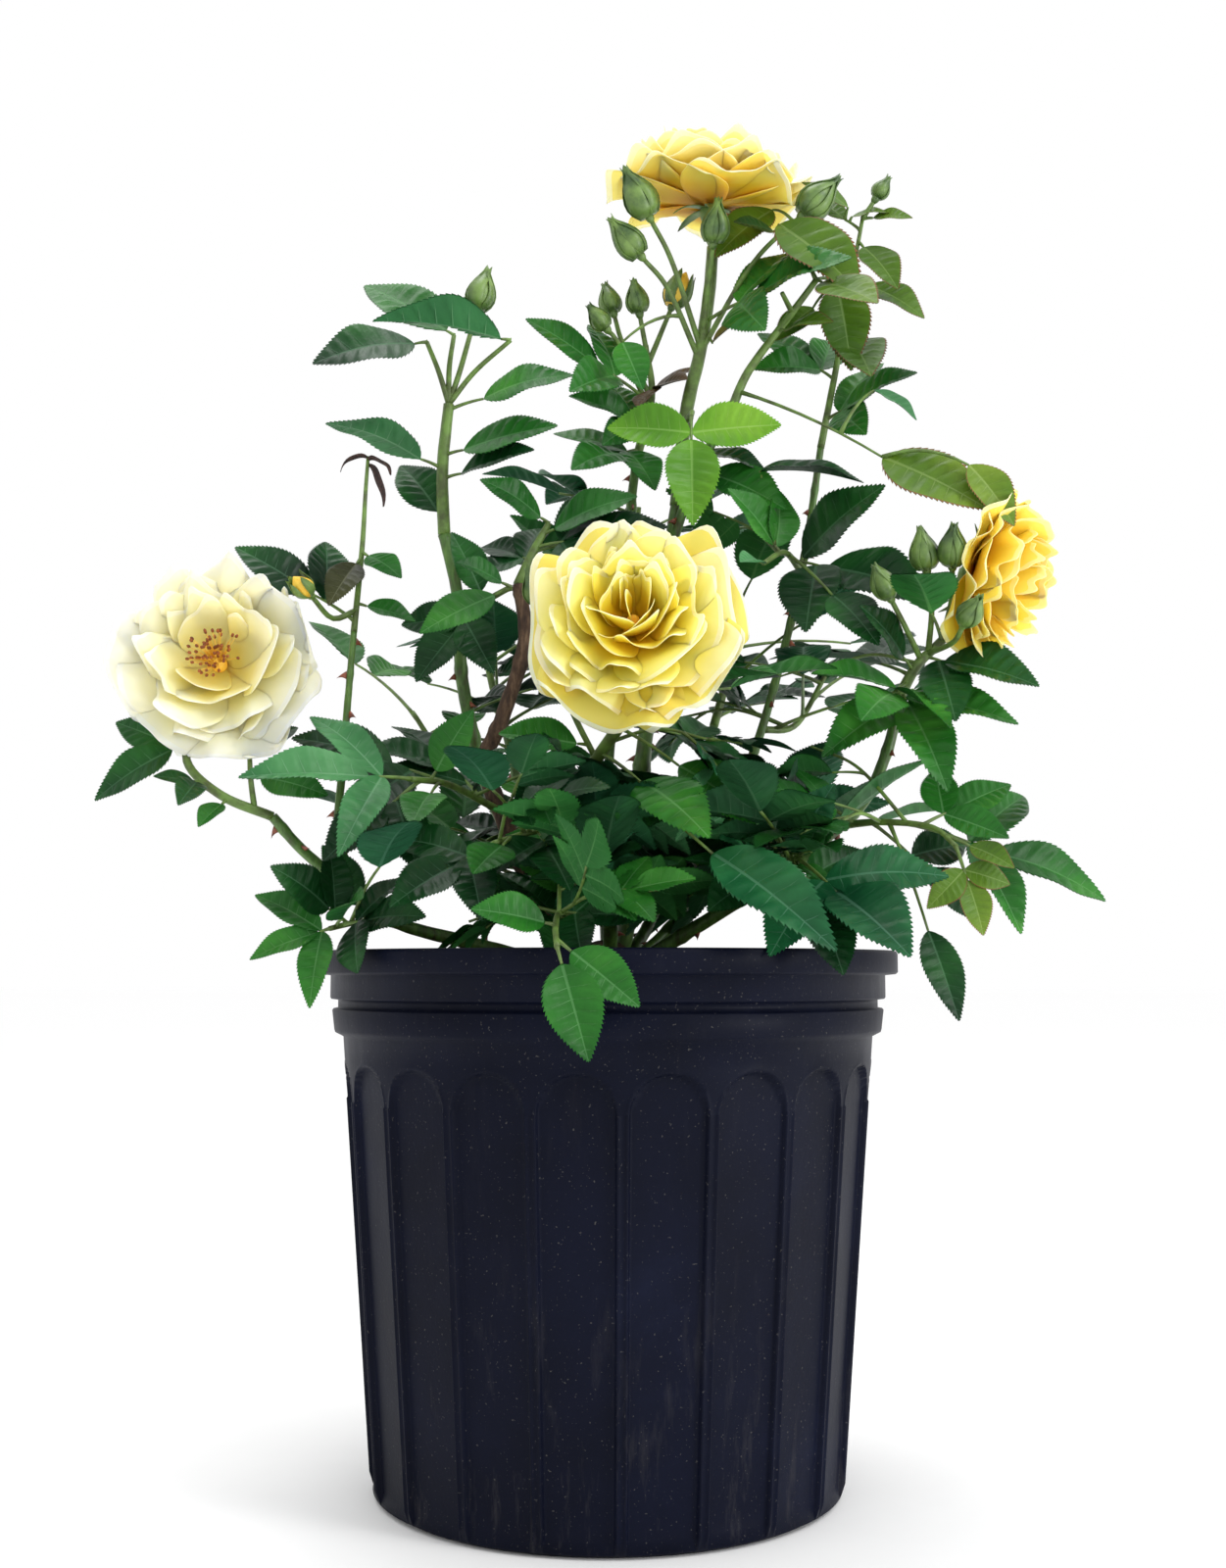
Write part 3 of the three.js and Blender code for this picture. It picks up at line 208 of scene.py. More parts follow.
         [(0, 1, (-92, -116, 268), 38, 1, 55, "dark"), (0, 0.8, (-56, -124, 282), 36, 0, 60, "mid"),
          (0, 0.5, (-16, -112, 276), 38, 1, 60, "dark"), (0, 0.6, (-36, -100, 324), 36, 0, 55, "dark")]),
        # Masses on the far side and inside, which the rule alone fills
        ("back_left", "back_left", 1, (2.5, 1.5), 8, [(-62, 72, 392), (-68, 72, 420)], [], []),
        ("back_right", "back_right", 1, (2.5, 1.5), 8, [(64, 74, 400), (68, 76, 432)], [], []),
        ("back", "back", 1, (2.5, 1.5), 7, [(12, 62, 444), (16, 56, 486)], [], []),
        ("low_back_left", "back_left", 0.45, (2.0, 1.3), 7, [(-64, 58, 296), (-92, 66, 292)], [], []),
        ("low_back_right", "back_right", 0.45, (2.0, 1.3), 7, [(64, 58, 300), (94, 60, 296)], [], []),
        ("low_back", "back", 0.35, (2.0, 1.3), 7, [(0, 80, 290), (4, 112, 284)], [], []),
        ("low_inner_left", "left_tall", 0.3, (1.9, 1.3), 7, [(-66, 20, 288), (-98, 16, 284)], [], []),
        ("low_inner_right", "right_thin", 0.2, (1.9, 1.3), 7, [(74, 20, 284), (106, 8, 280)], [], []),
        ("mid_left", "left_tall", 0.5, (1.9, 1.3), 5, [(-84, 26, 350), (-100, 30, 372)], [], []),
        ("mid_right", "right_thin", 0.5, (1.9, 1.3), 5, [(96, 34, 366), (112, 40, 392)], [], []),
    ]
]

BLOOMS = [
  {"name": "bloom_centre", "foliage": "foliage_front",
    "centre": [12, -128, 386], "faces": [0, -0.96, 0.28], "radius": 45, "depth": 30},
  {"name": "bloom_top", "foliage": "foliage_centre_top",
    "centre": [53, 0, 640], "faces": [0.08, -0.1, 1], "radius": 45, "depth": 40},
  {"name": "bloom_left", "foliage": "foliage_left_bloom",
    "centre": [-180, -62, 384], "faces": [0, -0.98, 0.2], "radius": 44, "depth": 26},
  {"name": "bloom_right", "foliage": "foliage_right",
    "centre": [190, -52, 424], "faces": [0.82, -0.42, -0.38], "radius": 36, "depth": 26},
]

# Leaves that the photo shows and the solids leave out: the mass that each grows on, the foot and the tip of
# its blade, how far it faces the viewer in degrees, and its tone
SINGLE_LEAVES = [
    ("foliage_upper_right", (84, -25, 607), (122, -44, 565), 62, "olive"),
    ("foliage_upper_right", (113, -22, 577), (119, -30, 533), 78, "olive"),
    ("foliage_upper_right", (103, -6, 572), (83, -10, 554), 55, "olive"),
    ("foliage_upper_right", (166, -70, 472), (187, -74, 444), 62, "olive"),
    ("foliage_upper_right", (127, -44, 516), (147, -48, 501), 30, "pale"),
    ("foliage_centre_top", (83, -6, 623), (53, -16, 597), 60, "olive"),
    ("foliage_right_thin", (122, 0, 627), (99, -4, 640), 45, "olive"),
    ("foliage_right_thin", (124, 0, 622), (143, -6, 623), 40, "olive"),
    ("foliage_right_inner", (74, -22, 483), (124, -30, 477), 24, "dark"),
    ("foliage_centre_top", (7, -14, 551), (17, -24, 523), 70, "mid"),
    ("foliage_centre_top", (52, -10, 552), (71, -22, 563), 40, "red"),
    ("foliage_centre_top", (50, -14, 484), (86, -30, 463), 60, "mid"),
    ("foliage_centre_top", (46, -8, 496), (78, -20, 487), 30, "dark"),
]

# Leaves that the photo shows narrower than the rule draws them, by the places of their tips
SLIM = {
    (-159, -105, 326): 0.62, (92, -152, 250): 0.7, (-112, -52, 547): 0.75, (229, -60, 276): 0.74,
    (149, -110, 220): 0.7, (-155, -95, 246): 0.7, (151, -84, 321): 0.75, (-236, -60, 320): 0.85,
}

# The masses whose left-out side leaflets the photo shows after all, how near those may come to limbs, and how
# far the stalks of single leaves bow, as a share of their length
FULLER = {"foliage_centre_top"}
FULLER_GAP = 2.0
SINGLE_BOW = 0.12

# How far a leaflet may lie from its mass's solid and still be the same leaflet, in metres
SAME_PLACE = 0.0011

# Growth that is finer than the solids
FINER = {
    # how many twigs a low and a high stem gets, and at which heights
    "low": 6, "high": 1, "from": 300, "to": 480,
    # the low end and the spread of where a twig starts on its stem, of its climb in degrees and of its reach
    "along": (0.15, 0.8), "climb": (-6, 44), "reach": (30, 34),
    # how far the twigs of the next mass are turned in degrees, a twig's arch as a share of its reach, and its
    # radii
    "turn": 57, "arch": 0.12, "radii": (1.0, 0.65),
    # its leaves: how many, their pairs of side leaflets, the low end and the spread of a leaflet's length and
    # of a stalk's, and how thick the stalk is beside a large leaf's
    "leaves": 4, "pairs": 2, "length": (23, 13), "stalk": (14, 16), "stalk_size": 0.8,
    # how far they stand out and hang, and in degrees how far they face outward and turn round the twig
    "spread": 0.9, "droop": 0.15, "faces": 48, "jitter": 90,
    # how near leaves and twigs may come to the limbs of other masses
    "leaf_gap": 4.2, "twig_gap": 4.0,
}

# The dense middle of the bush: rows of height, left end and right end
CORE = [
    (222, -92, 100), (250, -84, 100), (262, -62, 100), (335, -40, 104), (350, -25, 74), (440, -25, 70),
    (470, -30, 70), (500, 0, 30),
]

# Where the photo shows sky or the old cane through the leaves: left, right, low and high ends, how far back
# the opening starts, and the share of the leaves that are left out
OPENINGS = [
    (-62, -32, 348, 424, -22, 1.0), (-156, -70, 380, 450, 90, 0.55), (-156, -60, 308, 380, 90, 0.4),
    (-190, -98, 250, 308, 90, 0.55), (128, 245, 300, 380, 90, 0.5), (108, 245, 212, 308, 90, 0.6),
]

UP = np.array([0.0, 0.0, 1.0])
TO_VIEWER = np.array([0.0, -1.0, 0.0])


# Numbers and vectors
def seeded(seed):
    """The source's 32-bit generator, so that every leaf is dealt the same way"""
    mask = 0xFFFFFFFF
    state = [seed & mask]

    def draw():
        state[0] = (state[0] + 0x6D2B79F5) & mask
        mixed = ((state[0] ^ (state[0] >> 15)) * (1 | state[0])) & mask
        mixed = ((mixed + (((mixed ^ (mixed >> 7)) * (61 | mixed)) & mask)) & mask) ^ mixed
        return ((mixed ^ (mixed >> 14)) & mask) / 4294967296

    return draw


def vec(point):
    return np.array(point, float)


def unit(vector):
    return vector / max(np.linalg.norm(vector), 1e-9)


def turned_about(vector, axis, angle):
    """Rodrigues' turn of a vector about a unit axis"""
    cos, sin = math.cos(angle), math.sin(angle)
    return vector * cos + np.cross(axis, vector) * sin + axis * axis.dot(vector) * (1 - cos)


def axes_for(direction):
    """Two unit vectors that stand square to a direction and to each other"""
    side = np.cross(direction, UP)
    if np.linalg.norm(side) < 0.05:
        side = np.cross(direction, np.array([1.0, 0.0, 0.0]))
    side = unit(side)
    return side, np.cross(side, direction)


def leaning(first, second, angle):
    """The direction that leans from one axis towards another by an angle"""
    return first * math.cos(angle) + second * math.sin(angle)


def level_way(degrees):
    """A level direction, by its angle from +X"""
    return leaning(np.array([1.0, 0.0, 0.0]), np.array([0.0, 1.0, 0.0]), math.radians(degrees))


def dealt(draw, low, spread):
    """A value dealt between a low end and that end plus a spread"""
    return low + spread * draw()


class Path:
    """A Catmull-Rom path that is read by its share of length"""

    def __init__(self, points):
        rows = np.array(points, float)
        first = 2 * rows[0] - rows[1]
        last = 2 * rows[-1] - rows[-2]
        self.rows = np.vstack([first, rows, last])
        self.spans = len(rows) - 1
        self.places = np.linspace(0, 1, 201)
        samples = self.points(self.places)
        steps = np.linalg.norm(np.diff(samples, axis=0), axis=1)
        self.lengths = np.concatenate([[0], np.cumsum(steps)])
        self.length = self.lengths[-1]

    def points(self, places):
        scaled = np.clip(np.asarray(places, float), 0, 1) * self.spans
        index = np.minimum(scaled.astype(int), self.spans - 1)
        t = (scaled - index)[:, None]
        a, b, c, d = (self.rows[index + k] for k in range(4))
        t0, t1 = (c - a) / 2, (d - b) / 2
        return b + t0 * t + (3 * (c - b) - 2 * t0 - t1) * t**2 + (2 * (b - c) + t0 + t1) * t**3

    def at(self, shares):
        shares = np.atleast_1d(np.asarray(shares, float))
        return self.points(np.interp(shares * self.length, self.lengths, self.places))

    def one(self, share):
        return self.at(share)[0]

    def heading(self, share):
        low, high = max(share - 0.01, 0), min(share + 0.01, 1)
        return unit(self.one(high) - self.one(low))


# Meshes are gathered as points and triangles, and written as one piece of each kind
def placed_object(name, data):
    obj = bpy.data.objects.new(name, data)
    bpy.context.scene.collection.objects.link(obj)
    return obj


class Shape:
    def __init__(self):
        self.points = []
        self.triangles = []
        self.slots = []
        self.count = 0

    def add(self, points, triangles, slot=0):
        points = np.asarray(points, float)
        triangles = np.asarray(triangles, int)
        self.points.append(points)
        self.triangles.append(triangles + self.count)
        self.slots.append(np.zeros(len(triangles), int) + slot)
        self.count += len(points)

    def size(self):
        return sum(len(t) for t in self.triangles)

    def piece(self, name, materials, record_slot, nodes=()):
        mesh = bpy.data.meshes.new(name)
        points = np.concatenate(self.points) * MM
        mesh.from_pydata(points.tolist(), [], np.concatenate(self.triangles).tolist())
        mesh.polygons.foreach_set("material_index", np.concatenate(self.slots).astype(np.int32))
        mesh.polygons.foreach_set("use_smooth", np.ones(len(mesh.polygons), bool))
        mesh.update()
        obj = placed_object(name, mesh)
        for made in materials:
            mesh.materials.append(made)
        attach(obj, "root")
        if nodes:
            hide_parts(*nodes)


def grid_triangles(rows, columns, closed=False):
    """Triangles of a grid whose points run along each row, joined round where it is closed"""
    faces = []
    across = columns if closed else columns - 1
    for i in range(rows - 1):
        for j in range(across):
            k = (j + 1) % columns
            a, b = i * columns + j, i * columns + k
            c, d = a + columns, b + columns
            faces += [(a, b, d), (a, d, c)]
    return np.array(faces)


def capped_rings(rows, sides):
    """Triangles of closed rings and of both ends, whose middle points are numbered after the rings"""
    first, last, top = rows * sides, rows * sides + 1, (rows - 1) * sides
    caps = []
    for j in range(sides):
        k = (j + 1) % sides
        caps += [(first, k, j), (last, top + j, top + k)]
    return np.vstack([grid_triangles(rows, sides, closed=True), caps])


def ring_angles(sides):
    return np.arange(sides) * 2 * math.pi / sides


def ring_about(middle, side, other, angles, reach):
    """A ring of points in the plane of two directions"""
    return middle + np.outer(np.cos(angles) * reach, side) + np.outer(np.sin(angles) * reach, other)


def level_ring(angles, reach, height):
    """A ring of points about the Z axis"""
    return np.column_stack([np.cos(angles) * reach, np.sin(angles) * reach, np.zeros(len(angles)) + height])


def tube(points, radii, sides, shape_of=None):
    """A closed tube round a line of points, its ends drawn to their middles"""
    points = np.asarray(points, float)
    radii = np.broadcast_to(np.asarray(radii, float), (len(points),))
    headings = np.gradient(points, axis=0)
    side = axes_for(unit(headings[0]))[0]
    angles = ring_angles(sides)
    rings = []
    for i, (middle, radius) in enumerate(zip(points, radii)):
        heading = unit(headings[i])
        side = unit(side - heading * side.dot(heading))
        swell = shape_of(i, angles) if shape_of else 1.0
        rings.append(ring_about(middle, side, np.cross(heading, side), angles, radius * swell))
    return np.vstack(rings + [points[:1], points[-1:]]), capped_rings(len(points), sides)


def turned_profile(base, heading, profile, sides, flutes=0.0):
    """A closed form turned about a heading from rows of height and radius, fluted in five where asked"""
    side, other = axes_for(heading)
    angles = ring_angles(sides)
    rings = []
    for height, radius in profile:
        reach = radius * (1 + flutes * np.cos(5 * angles))
        rings.append(ring_about(base + heading * height, side, other, angles, reach))
    ends = [[base + heading * profile[0][0]], [base + heading * profile[-1][0]]]
    return np.vstack(rings + ends), capped_rings(len(profile), sides)


def sheet(grid, thickness):
    """A closed thin solid from a grid of points: its face, its back and the strip round the edge"""
    rows, columns, _ = grid.shape
    along = np.gradient(grid, axis=0)
    across = np.gradient(grid, axis=1)
    normals = np.cross(across, along)
    lengths = np.linalg.norm(normals, axis=2, keepdims=True)
    normals = normals / np.maximum(lengths, 1e-9)
    face = grid.reshape(-1, 3)
    back = (grid - normals * thickness).reshape(-1, 3)
    front = grid_triangles(rows, columns)
    count = rows * columns
    rear = front[:, ::-1] + count
    ring = list(range(columns)) + [i * columns + columns - 1 for i in range(1, rows)]
    ring += [count - 1 - j for j in range(1, columns)] + [i * columns for i in range(rows - 2, 0, -1)]
    edge = []
    for a, b in zip(ring, ring[1:] + ring[:1]):
        edge += [(b, a, a + count), (b, a + count, b + count)]
    return np.vstack([face, back]), np.vstack([front, rear, edge])


# Materials
def display(red, green, blue):
    """A colour picked on a display, 0 to 255, as the linear values that shaders read"""
    shares = [c / 255 for c in (red, green, blue)]
    return tuple(c / 12.92 if c <= 0.04045 else ((c + 0.055) / 1.055) ** 2.4 for c in shares) + (1.0,)


class Finish:
    """A Principled material whose patterns come from the object's own coordinates"""

    def __init__(self, name, roughness=0.5, specular=0.5, **uniform):
        self.material = bpy.data.materials.new(name)
        self.material.use_nodes = True
        self.tree = self.material.node_tree
        self.shader = self.tree.nodes["Principled BSDF"]
        self.shader.inputs["Roughness"].default_value = roughness
        self.shader.inputs["Specular IOR Level"].default_value = specular
        for socket, value in uniform.items():
            self.shader.inputs[socket.replace("_", " ")].default_value = value
        self.coordinates = self.tree.nodes.new("ShaderNodeTexCoord").outputs["Object"]

    def node(self, kind, inputs=(), **settings):
        node = self.tree.nodes.new(kind)
        for key, value in settings.items():
            setattr(node, key, value)
        for key, value in inputs:
            if isinstance(value, bpy.types.NodeSocket):
                self.tree.links.new(value, node.inputs[key])
            else:
                node.inputs[key].default_value = value
        return node

    def noise(self, scale, detail=3.0, roughness=0.5, stretch=None):
        source = self.coordinates
        if stretch:
            source = self.node("ShaderNodeMapping", [("Vector", source), ("Scale", stretch)]).outputs[0]
        inputs = [("Vector", source), ("Scale", scale), ("Detail", detail), ("Roughness", roughness)]
        return self.node("ShaderNodeTexNoise", inputs).outputs["Fac"]

    def ramp(self, value, stops):
        """Colours by value; stops is [(place, colour)]"""
        node = self.node("ShaderNodeValToRGB", [("Fac", value)])
        elements = node.color_ramp.elements
        while len(elements) < len(stops):
            elements.new(0.5)
        for element, (place, colour) in zip(elements, stops):
            element.position = place
            element.color = colour
        return node.outputs["Color"]

    def shades(self, value, stops):
        """Colours picked on a display, by value"""
        return self.ramp(value, [(place, display(*colour)) for place, colour in stops])

    def spread(self, value, low, high, end=1.0):
        """A value that runs from 0 to an end, spread between two others"""
        inputs = [("Value", value), ("From Max", end), ("To Min", low), ("To Max", high)]
        return self.node("ShaderNodeMapRange", inputs).outputs[0]

    def reckon(self, operation, first, second):
        return self.node("ShaderNodeMath", [(0, first), (1, second)], operation=operation).outputs[0]

    def mix(self, share, first, second):
        inputs = [(0, share), (6, first), (7, second)]
        return self.node("ShaderNodeMix", inputs, data_type="RGBA").outputs[2]

    def into(self, name, socket):
        self.tree.links.new(socket, self.shader.inputs[name])

    def bump(self, height, strength, distance):
        inputs = [("Height", height), ("Strength", strength), ("Distance", distance)]
        self.into("Normal", self.node("ShaderNodeBump", inputs).outputs["Normal"])


def leaf_finish(name, colours, roughness):
    """Leaf green that drifts from leaf to leaf, with the fine grain of the blade"""
    made = Finish(name, roughness, specular=0.2)
    drift = made.noise(22, detail=2)
    broad = made.shades(drift, list(zip((0.32, 0.52, 0.72), colours)))
    grain = made.noise(420, detail=2)
    made.into("Base Color", made.mix(made.spread(grain, 0.0, 0.35), broad, display(*colours[0])))
    made.into("Roughness", made.spread(drift, roughness - 0.06, roughness + 0.1))
    made.bump(grain, 0.18, 0.0006)
    return made.material


# Shade, light and fresh green of each tone of leaf
LEAF_TONES = {
    "dark": ((6, 38, 16), (15, 64, 24), (38, 102, 36)),
    "mid": ((18, 72, 20), (36, 104, 30), (68, 140, 46)),
    "pale": ((44, 98, 56), (62, 124, 72), (90, 152, 96)),
    "blue": ((10, 58, 34), (24, 88, 48), (52, 122, 68)),
    "olive": ((52, 84, 20), (80, 114, 28), (116, 142, 44)),
    "bright": ((70, 122, 26), (94, 148, 34), (128, 176, 54)),
    "rust": ((30, 32, 18), (56, 60, 28), (88, 92, 44)),
    "red": ((58, 44, 24), (92, 66, 34), (112, 112, 46)),
}


# How the backs and the veins differ from the upper side: a factor and an addition for red, green and blue.
# Then the reddish saw teeth of the olive leaves, and how rough each side is
BACK_TINT = ((0.66, 20), (0.76, 28), (0.66, 26))
VEIN_TINT = ((0.84, 40), (0.84, 40), (0.84, 40))
RED_EDGE = ((84, 60, 36), (118, 78, 48), (140, 100, 56))
LEAF_ROUGHNESS = {"top": 0.36, "back": 0.55, "vein": 0.5}


def tinted(colours, tint):
    return [tuple(int(c * factor + more) for c, (factor, more) in zip(colour, tint)) for colour in colours]


def leaf_materials(tone):
    """Upper side, back, veins and saw teeth of one tone of leaf"""
    colours, rough = LEAF_TONES[tone], LEAF_ROUGHNESS
    top = leaf_finish("leaf_" + tone, colours, rough["top"])
    back = leaf_finish("leaf_back_" + tone, tinted(colours, BACK_TINT), rough["back"])
    vein = leaf_finish("leaf_vein_" + tone, tinted(colours, VEIN_TINT), rough["vein"])
    edge = leaf_finish("leaf_edge_" + tone, RED_EDGE, rough["vein"]) if tone == "olive" else top
    return [top, back, vein, edge]


def bark_finish(name, colours, scale, relief, roughness):
    made = Finish(name, roughness)
    grain = made.noise(scale, detail=5, roughness=0.65, stretch=(1, 1, 0.28))
    made.into("Base Color", made.shades(grain, [(0.3 + 0.2 * i, c) for i, c in enumerate(colours)]))
    made.bump(grain, 0.7, relief)
    return made.material


def petal_finish(name, heart, stops):
    """Petal yellow by distance from the heart, with faint veins; golden near it, partly own colour, partly
    painted shade
    """
    made = Finish(name, 0.6, specular=0.22, Subsurface_Weight=0.6, Subsurface_Scale=0.005,
                  Subsurface_Radius=(1.0, 0.75, 0.35))
    inputs = [(0, made.coordinates), (1, tuple(heart * MM))]
    away = made.node("ShaderNodeVectorMath", inputs, operation="DISTANCE").outputs["Value"]
    reach = made.reckon("MULTIPLY", away, 1 / (PETAL["reach"] * MM))
    drift = made.noise(60, detail=3)
    shifted = made.reckon("ADD", reach, made.spread(drift, -0.13, 0.13))
    made.into("Base Color", made.shades(shifted, stops))
    made.bump(made.noise(700, detail=2), 0.15, 0.0004)
    return made.material


def pot_finish():
    """Blue-black plastic with scuffs, specks of dust, and dirt towards its foot"""
    made = Finish("nursery_plastic", 0.5, specular=0.07)
    blotch = made.noise(14, detail=5, roughness=0.6)
    speck = made.noise(900, detail=1)
    scuff = made.noise(90, detail=6, roughness=0.7, stretch=(1, 1, 0.15))
    height = made.node("ShaderNodeSeparateXYZ", [("Vector", made.coordinates)]).outputs["Z"]
    low = made.spread(height, 0.5, 0.06, end=0.12)
    base = made.shades(blotch, [(0.3, (7, 10, 23)), (0.6, (11, 15, 32)), (0.8, (18, 23, 43))])
    dirt = made.ramp(scuff, [(0.55, (0, 0, 0, 1)), (0.78, (1, 1, 1, 1))])
    dusted = made.mix(made.reckon("MULTIPLY", dirt, low), base, display(74, 72, 72))
    dust = made.ramp(speck, [(0.7, (0, 0, 0, 1)), (0.78, (1, 1, 1, 1))])
    faint = made.reckon("MULTIPLY", dust, 0.16)
    made.into("Base Color", made.mix(faint, dusted, display(150, 146, 138)))
    made.into("Roughness", made.spread(scuff, 0.36, 0.54))
    made.bump(made.noise(500, detail=3), 0.12, 0.0005)
    return made.material


def plain_finish(name, dark, light, scale, roughness, relief=0.0004):
    made = Finish(name, roughness)
    grain = made.noise(scale, detail=4, roughness=0.6)
    made.into("Base Color", made.shades(grain, [(0.35, dark), (0.65, light)]))
    made.bump(grain, 0.4, relief)
    return made.material


# Pot: a turned shell whose side is pressed in by arched flutes
def side_radius(z):
    top = POT["height"] - POT["band_drop"] - 2
    return POT["foot"] + (POT["shoulder"] - POT["foot"]) * (z - POT["corner"]) / (top - POT["corner"])


def outer_profile():
    h = POT["height"]
    arch_foot = FLUTE["top"] - FLUTE["width"] / 2 - 3
    return [
        (0, 0.6), (60, 0.6), (64, 0), (POT["foot"] - POT["corner"] * 0.7, 0), (POT["foot"] - 1.2, 2.4),
        (POT["foot"], POT["corner"]), (side_radius(arch_foot), arch_foot),
        (side_radius(FLUTE["top"] + 2), FLUTE["top"] + 2), (POT["shoulder"], h - POT["band_drop"] - 2),
        (POT["band_foot"], h - POT["band_drop"]), (POT["band_foot"] + 0.4, h - POT["band_drop"] + 1.2),
        (POT["band"], h - POT["groove_drop"] - 0.8), (POT["band"] - 0.6, h - POT["groove_drop"]),
        (POT["groove"], h - POT["groove_drop"] + 0.4), (POT["groove"], h - POT["step_drop"] - 0.4),
        (POT["step"] - 0.5, h - POT["step_drop"]), (POT["step"], h - POT["step_drop"] + 0.7),
        (POT["step"], h - POT["rim_drop"] - 0.5), (POT["rim"] - 1.0, h - POT["rim_drop"]),
        (POT["rim"], h - POT["rim_drop"] + 1.0), (POT["rim"], h - 1.6), (POT["rim"] - 0.7, h - 0.3),
        (POT["rim"] - 1.8, h),
    ]


def inner_profile():
    h = POT["height"]
    wall = POT["wall"]
    return [
        (POT["rim"] - wall - 1, h - 0.4), (POT["rim"] - wall - 1.6, h - 2),
        (POT["rim"] - wall - 1.6, h - 7.6), (POT["step"] - wall - 0.4, h - 8.6),
        (POT["step"] - wall - 1, h - 12),
        (POT["shoulder"] - wall, h - POT["band_drop"] + 2), (POT["shoulder"] - wall - 1, SOIL_LEVEL - 22),
        (POT["foot"] - POT["corner"], wall + 1), (0, wall + 1),
    ]


def densified(profile, step, fine_step=None):
    """The profile cut into shorter runs, shortest where the arches of the flutes are"""
    rows = [profile[0]]
    for (r0, z0), (r1, z1) in zip(profile, profile[1:]):
        arched = fine_step and z1 == FLUTE["top"] + 2
        pieces = max(1, int(math.hypot(r1 - r0, z1 - z0) / (fine_step if arched else step)))
        rows += [(r0 + (r1 - r0) * i / pieces, z0 + (z1 - z0) * i / pieces) for i in range(1, pieces + 1)]
    return np.array(rows)


def flute_columns():
    """Angles round the pot, closest together where the sides of the flutes fall"""
    half = FLUTE["width"] / 2
    falls = half + FLUTE["edge"] * np.array([-0.7, -0.2, 0.3, 0.8, 1.4, 2.0])
    side = np.concatenate([np.linspace(0, half - 1.6, 8)[1:], falls])
    rib = [math.pi * POT["shoulder"] / FLUTE["count"]]
    local = np.concatenate([-side[::-1], [0], side, rib]) / POT["shoulder"]
    centres = np.radians(FLUTE["offset"] - 90 + 360 / FLUTE["count"] * np.arange(FLUTE["count"]))
    return (centres[:, None] + local[None, :]).ravel()


def flute_depth(angles, z):
    """How far the side is pressed in, by angle round the pot and height"""
    pitch = 2 * math.pi / FLUTE["count"]
    local = (angles - math.radians(FLUTE["offset"] - 90) + pitch / 2) % pitch - pitch / 2
    across = local * POT["shoulder"]
    half = FLUTE["width"] / 2
    springing = FLUTE["top"] - half
    beyond = np.hypot(across, max(z - springing, 0)) - half
    beyond = np.maximum(beyond, FLUTE["bottom"] - z)
    inside = np.clip(-beyond / FLUTE["edge"] + 0.5, 0, 1)
    eased = inside * inside * (3 - 2 * inside)
    hollow = 1 - 0.35 * (across / half) ** 2
    bead = FLUTE["bead"] * (1 if z < springing else 0.3) * np.exp(-(((beyond - 0.9) / 0.8) ** 2))
    return FLUTE["depth"] * eased * np.clip(hollow, 0.3, 1) - bead


def pot():
    angles = flute_columns()
    outer = densified(outer_profile(), 8.0, 0.9)
    inner = densified(inner_profile(), 12.0)
    rings = []
    for radius, z in outer[1:]:
        pressed = flute_depth(angles, z) if POT["corner"] <= z < FLUTE["top"] + 2 else 0
        rings.append(level_ring(angles, radius - pressed, z))
    rings += [level_ring(angles, radius, z) for radius, z in inner[:-1]]
    middles = [[[0, 0, outer[0][1]]], [[0, 0, inner[-1][1]]]]
    shape = Shape()
    shape.add(np.vstack(rings + middles), capped_rings(len(rings), len(angles)))
    shape.piece("pot_shell", [pot_finish()], "pot_plastic", ["pot"])


# Potting mix: how far it reaches down the pot's wall, which is not as far as the arches of the flutes, its
# grid, how lumpy it is and how far it sinks. Then its splinters of bark: how many, the low end and the spread
# of their size and of their height on the mix, and the share that is pale
MIX = {
    "skirt": 24, "rings": 26, "sides": 90, "lumps": 2.6, "sunk": 3.4, "chips": 1900, "chip": (3.5, 9),
    "chip_height": (-2.2, 2.4), "pale_share": 0.35,
}


def chip(draw, size):
    """A splinter of bark: a box with its corners shaken"""
    corners = np.array([[x, y, z] for x in (-1, 1) for y in (-1, 1) for z in (-1, 1)], float)
    corners *= np.array([1.0, 0.55, 0.3]) * size / 2
    corners += (np.array([draw() for _ in range(24)]).reshape(8, 3) - 0.5) * size * 0.3
    turn = draw() * 2 * math.pi
    tilt = (draw() - 0.5) * 0.9
    cos, sin = math.cos(turn), math.sin(turn)
    tilted = corners + np.outer(corners[:, 0], [0, 0, 1]) * tilt
    spun = np.column_stack([
        tilted[:, 0] * cos - tilted[:, 1] * sin, tilted[:, 0] * sin + tilted[:, 1] * cos, tilted[:, 2],
    ])
    faces = [
        (0, 1, 3), (0, 3, 2), (4, 6, 7), (4, 7, 5), (0, 4, 5), (0, 5, 1),
        (2, 3, 7), (2, 7, 6), (0, 2, 6), (0, 6, 4), (1, 5, 7), (1, 7, 3),
    ]
    return spun, np.array(faces)


def mix_body(draw, reach):
    """The lumpy top of the potting mix and its skirt"""
    angles = ring_angles(MIX["sides"])
    rings = []
    for i in range(1, MIX["rings"] + 1):
        lumps = np.array([draw() for _ in angles]) * MIX["lumps"] - MIX["sunk"]
        rings.append(level_ring(angles, reach * i / MIX["rings"], SOIL_LEVEL + lumps))
    foot = SOIL_LEVEL - MIX["skirt"]
    rings.append(level_ring(angles, reach, foot))
    middles = [[[0, 0, SOIL_LEVEL - 2]], [[0, 0, foot]]]
    return np.vstack(rings + middles), capped_rings(len(rings), len(angles))[:, ::-1]


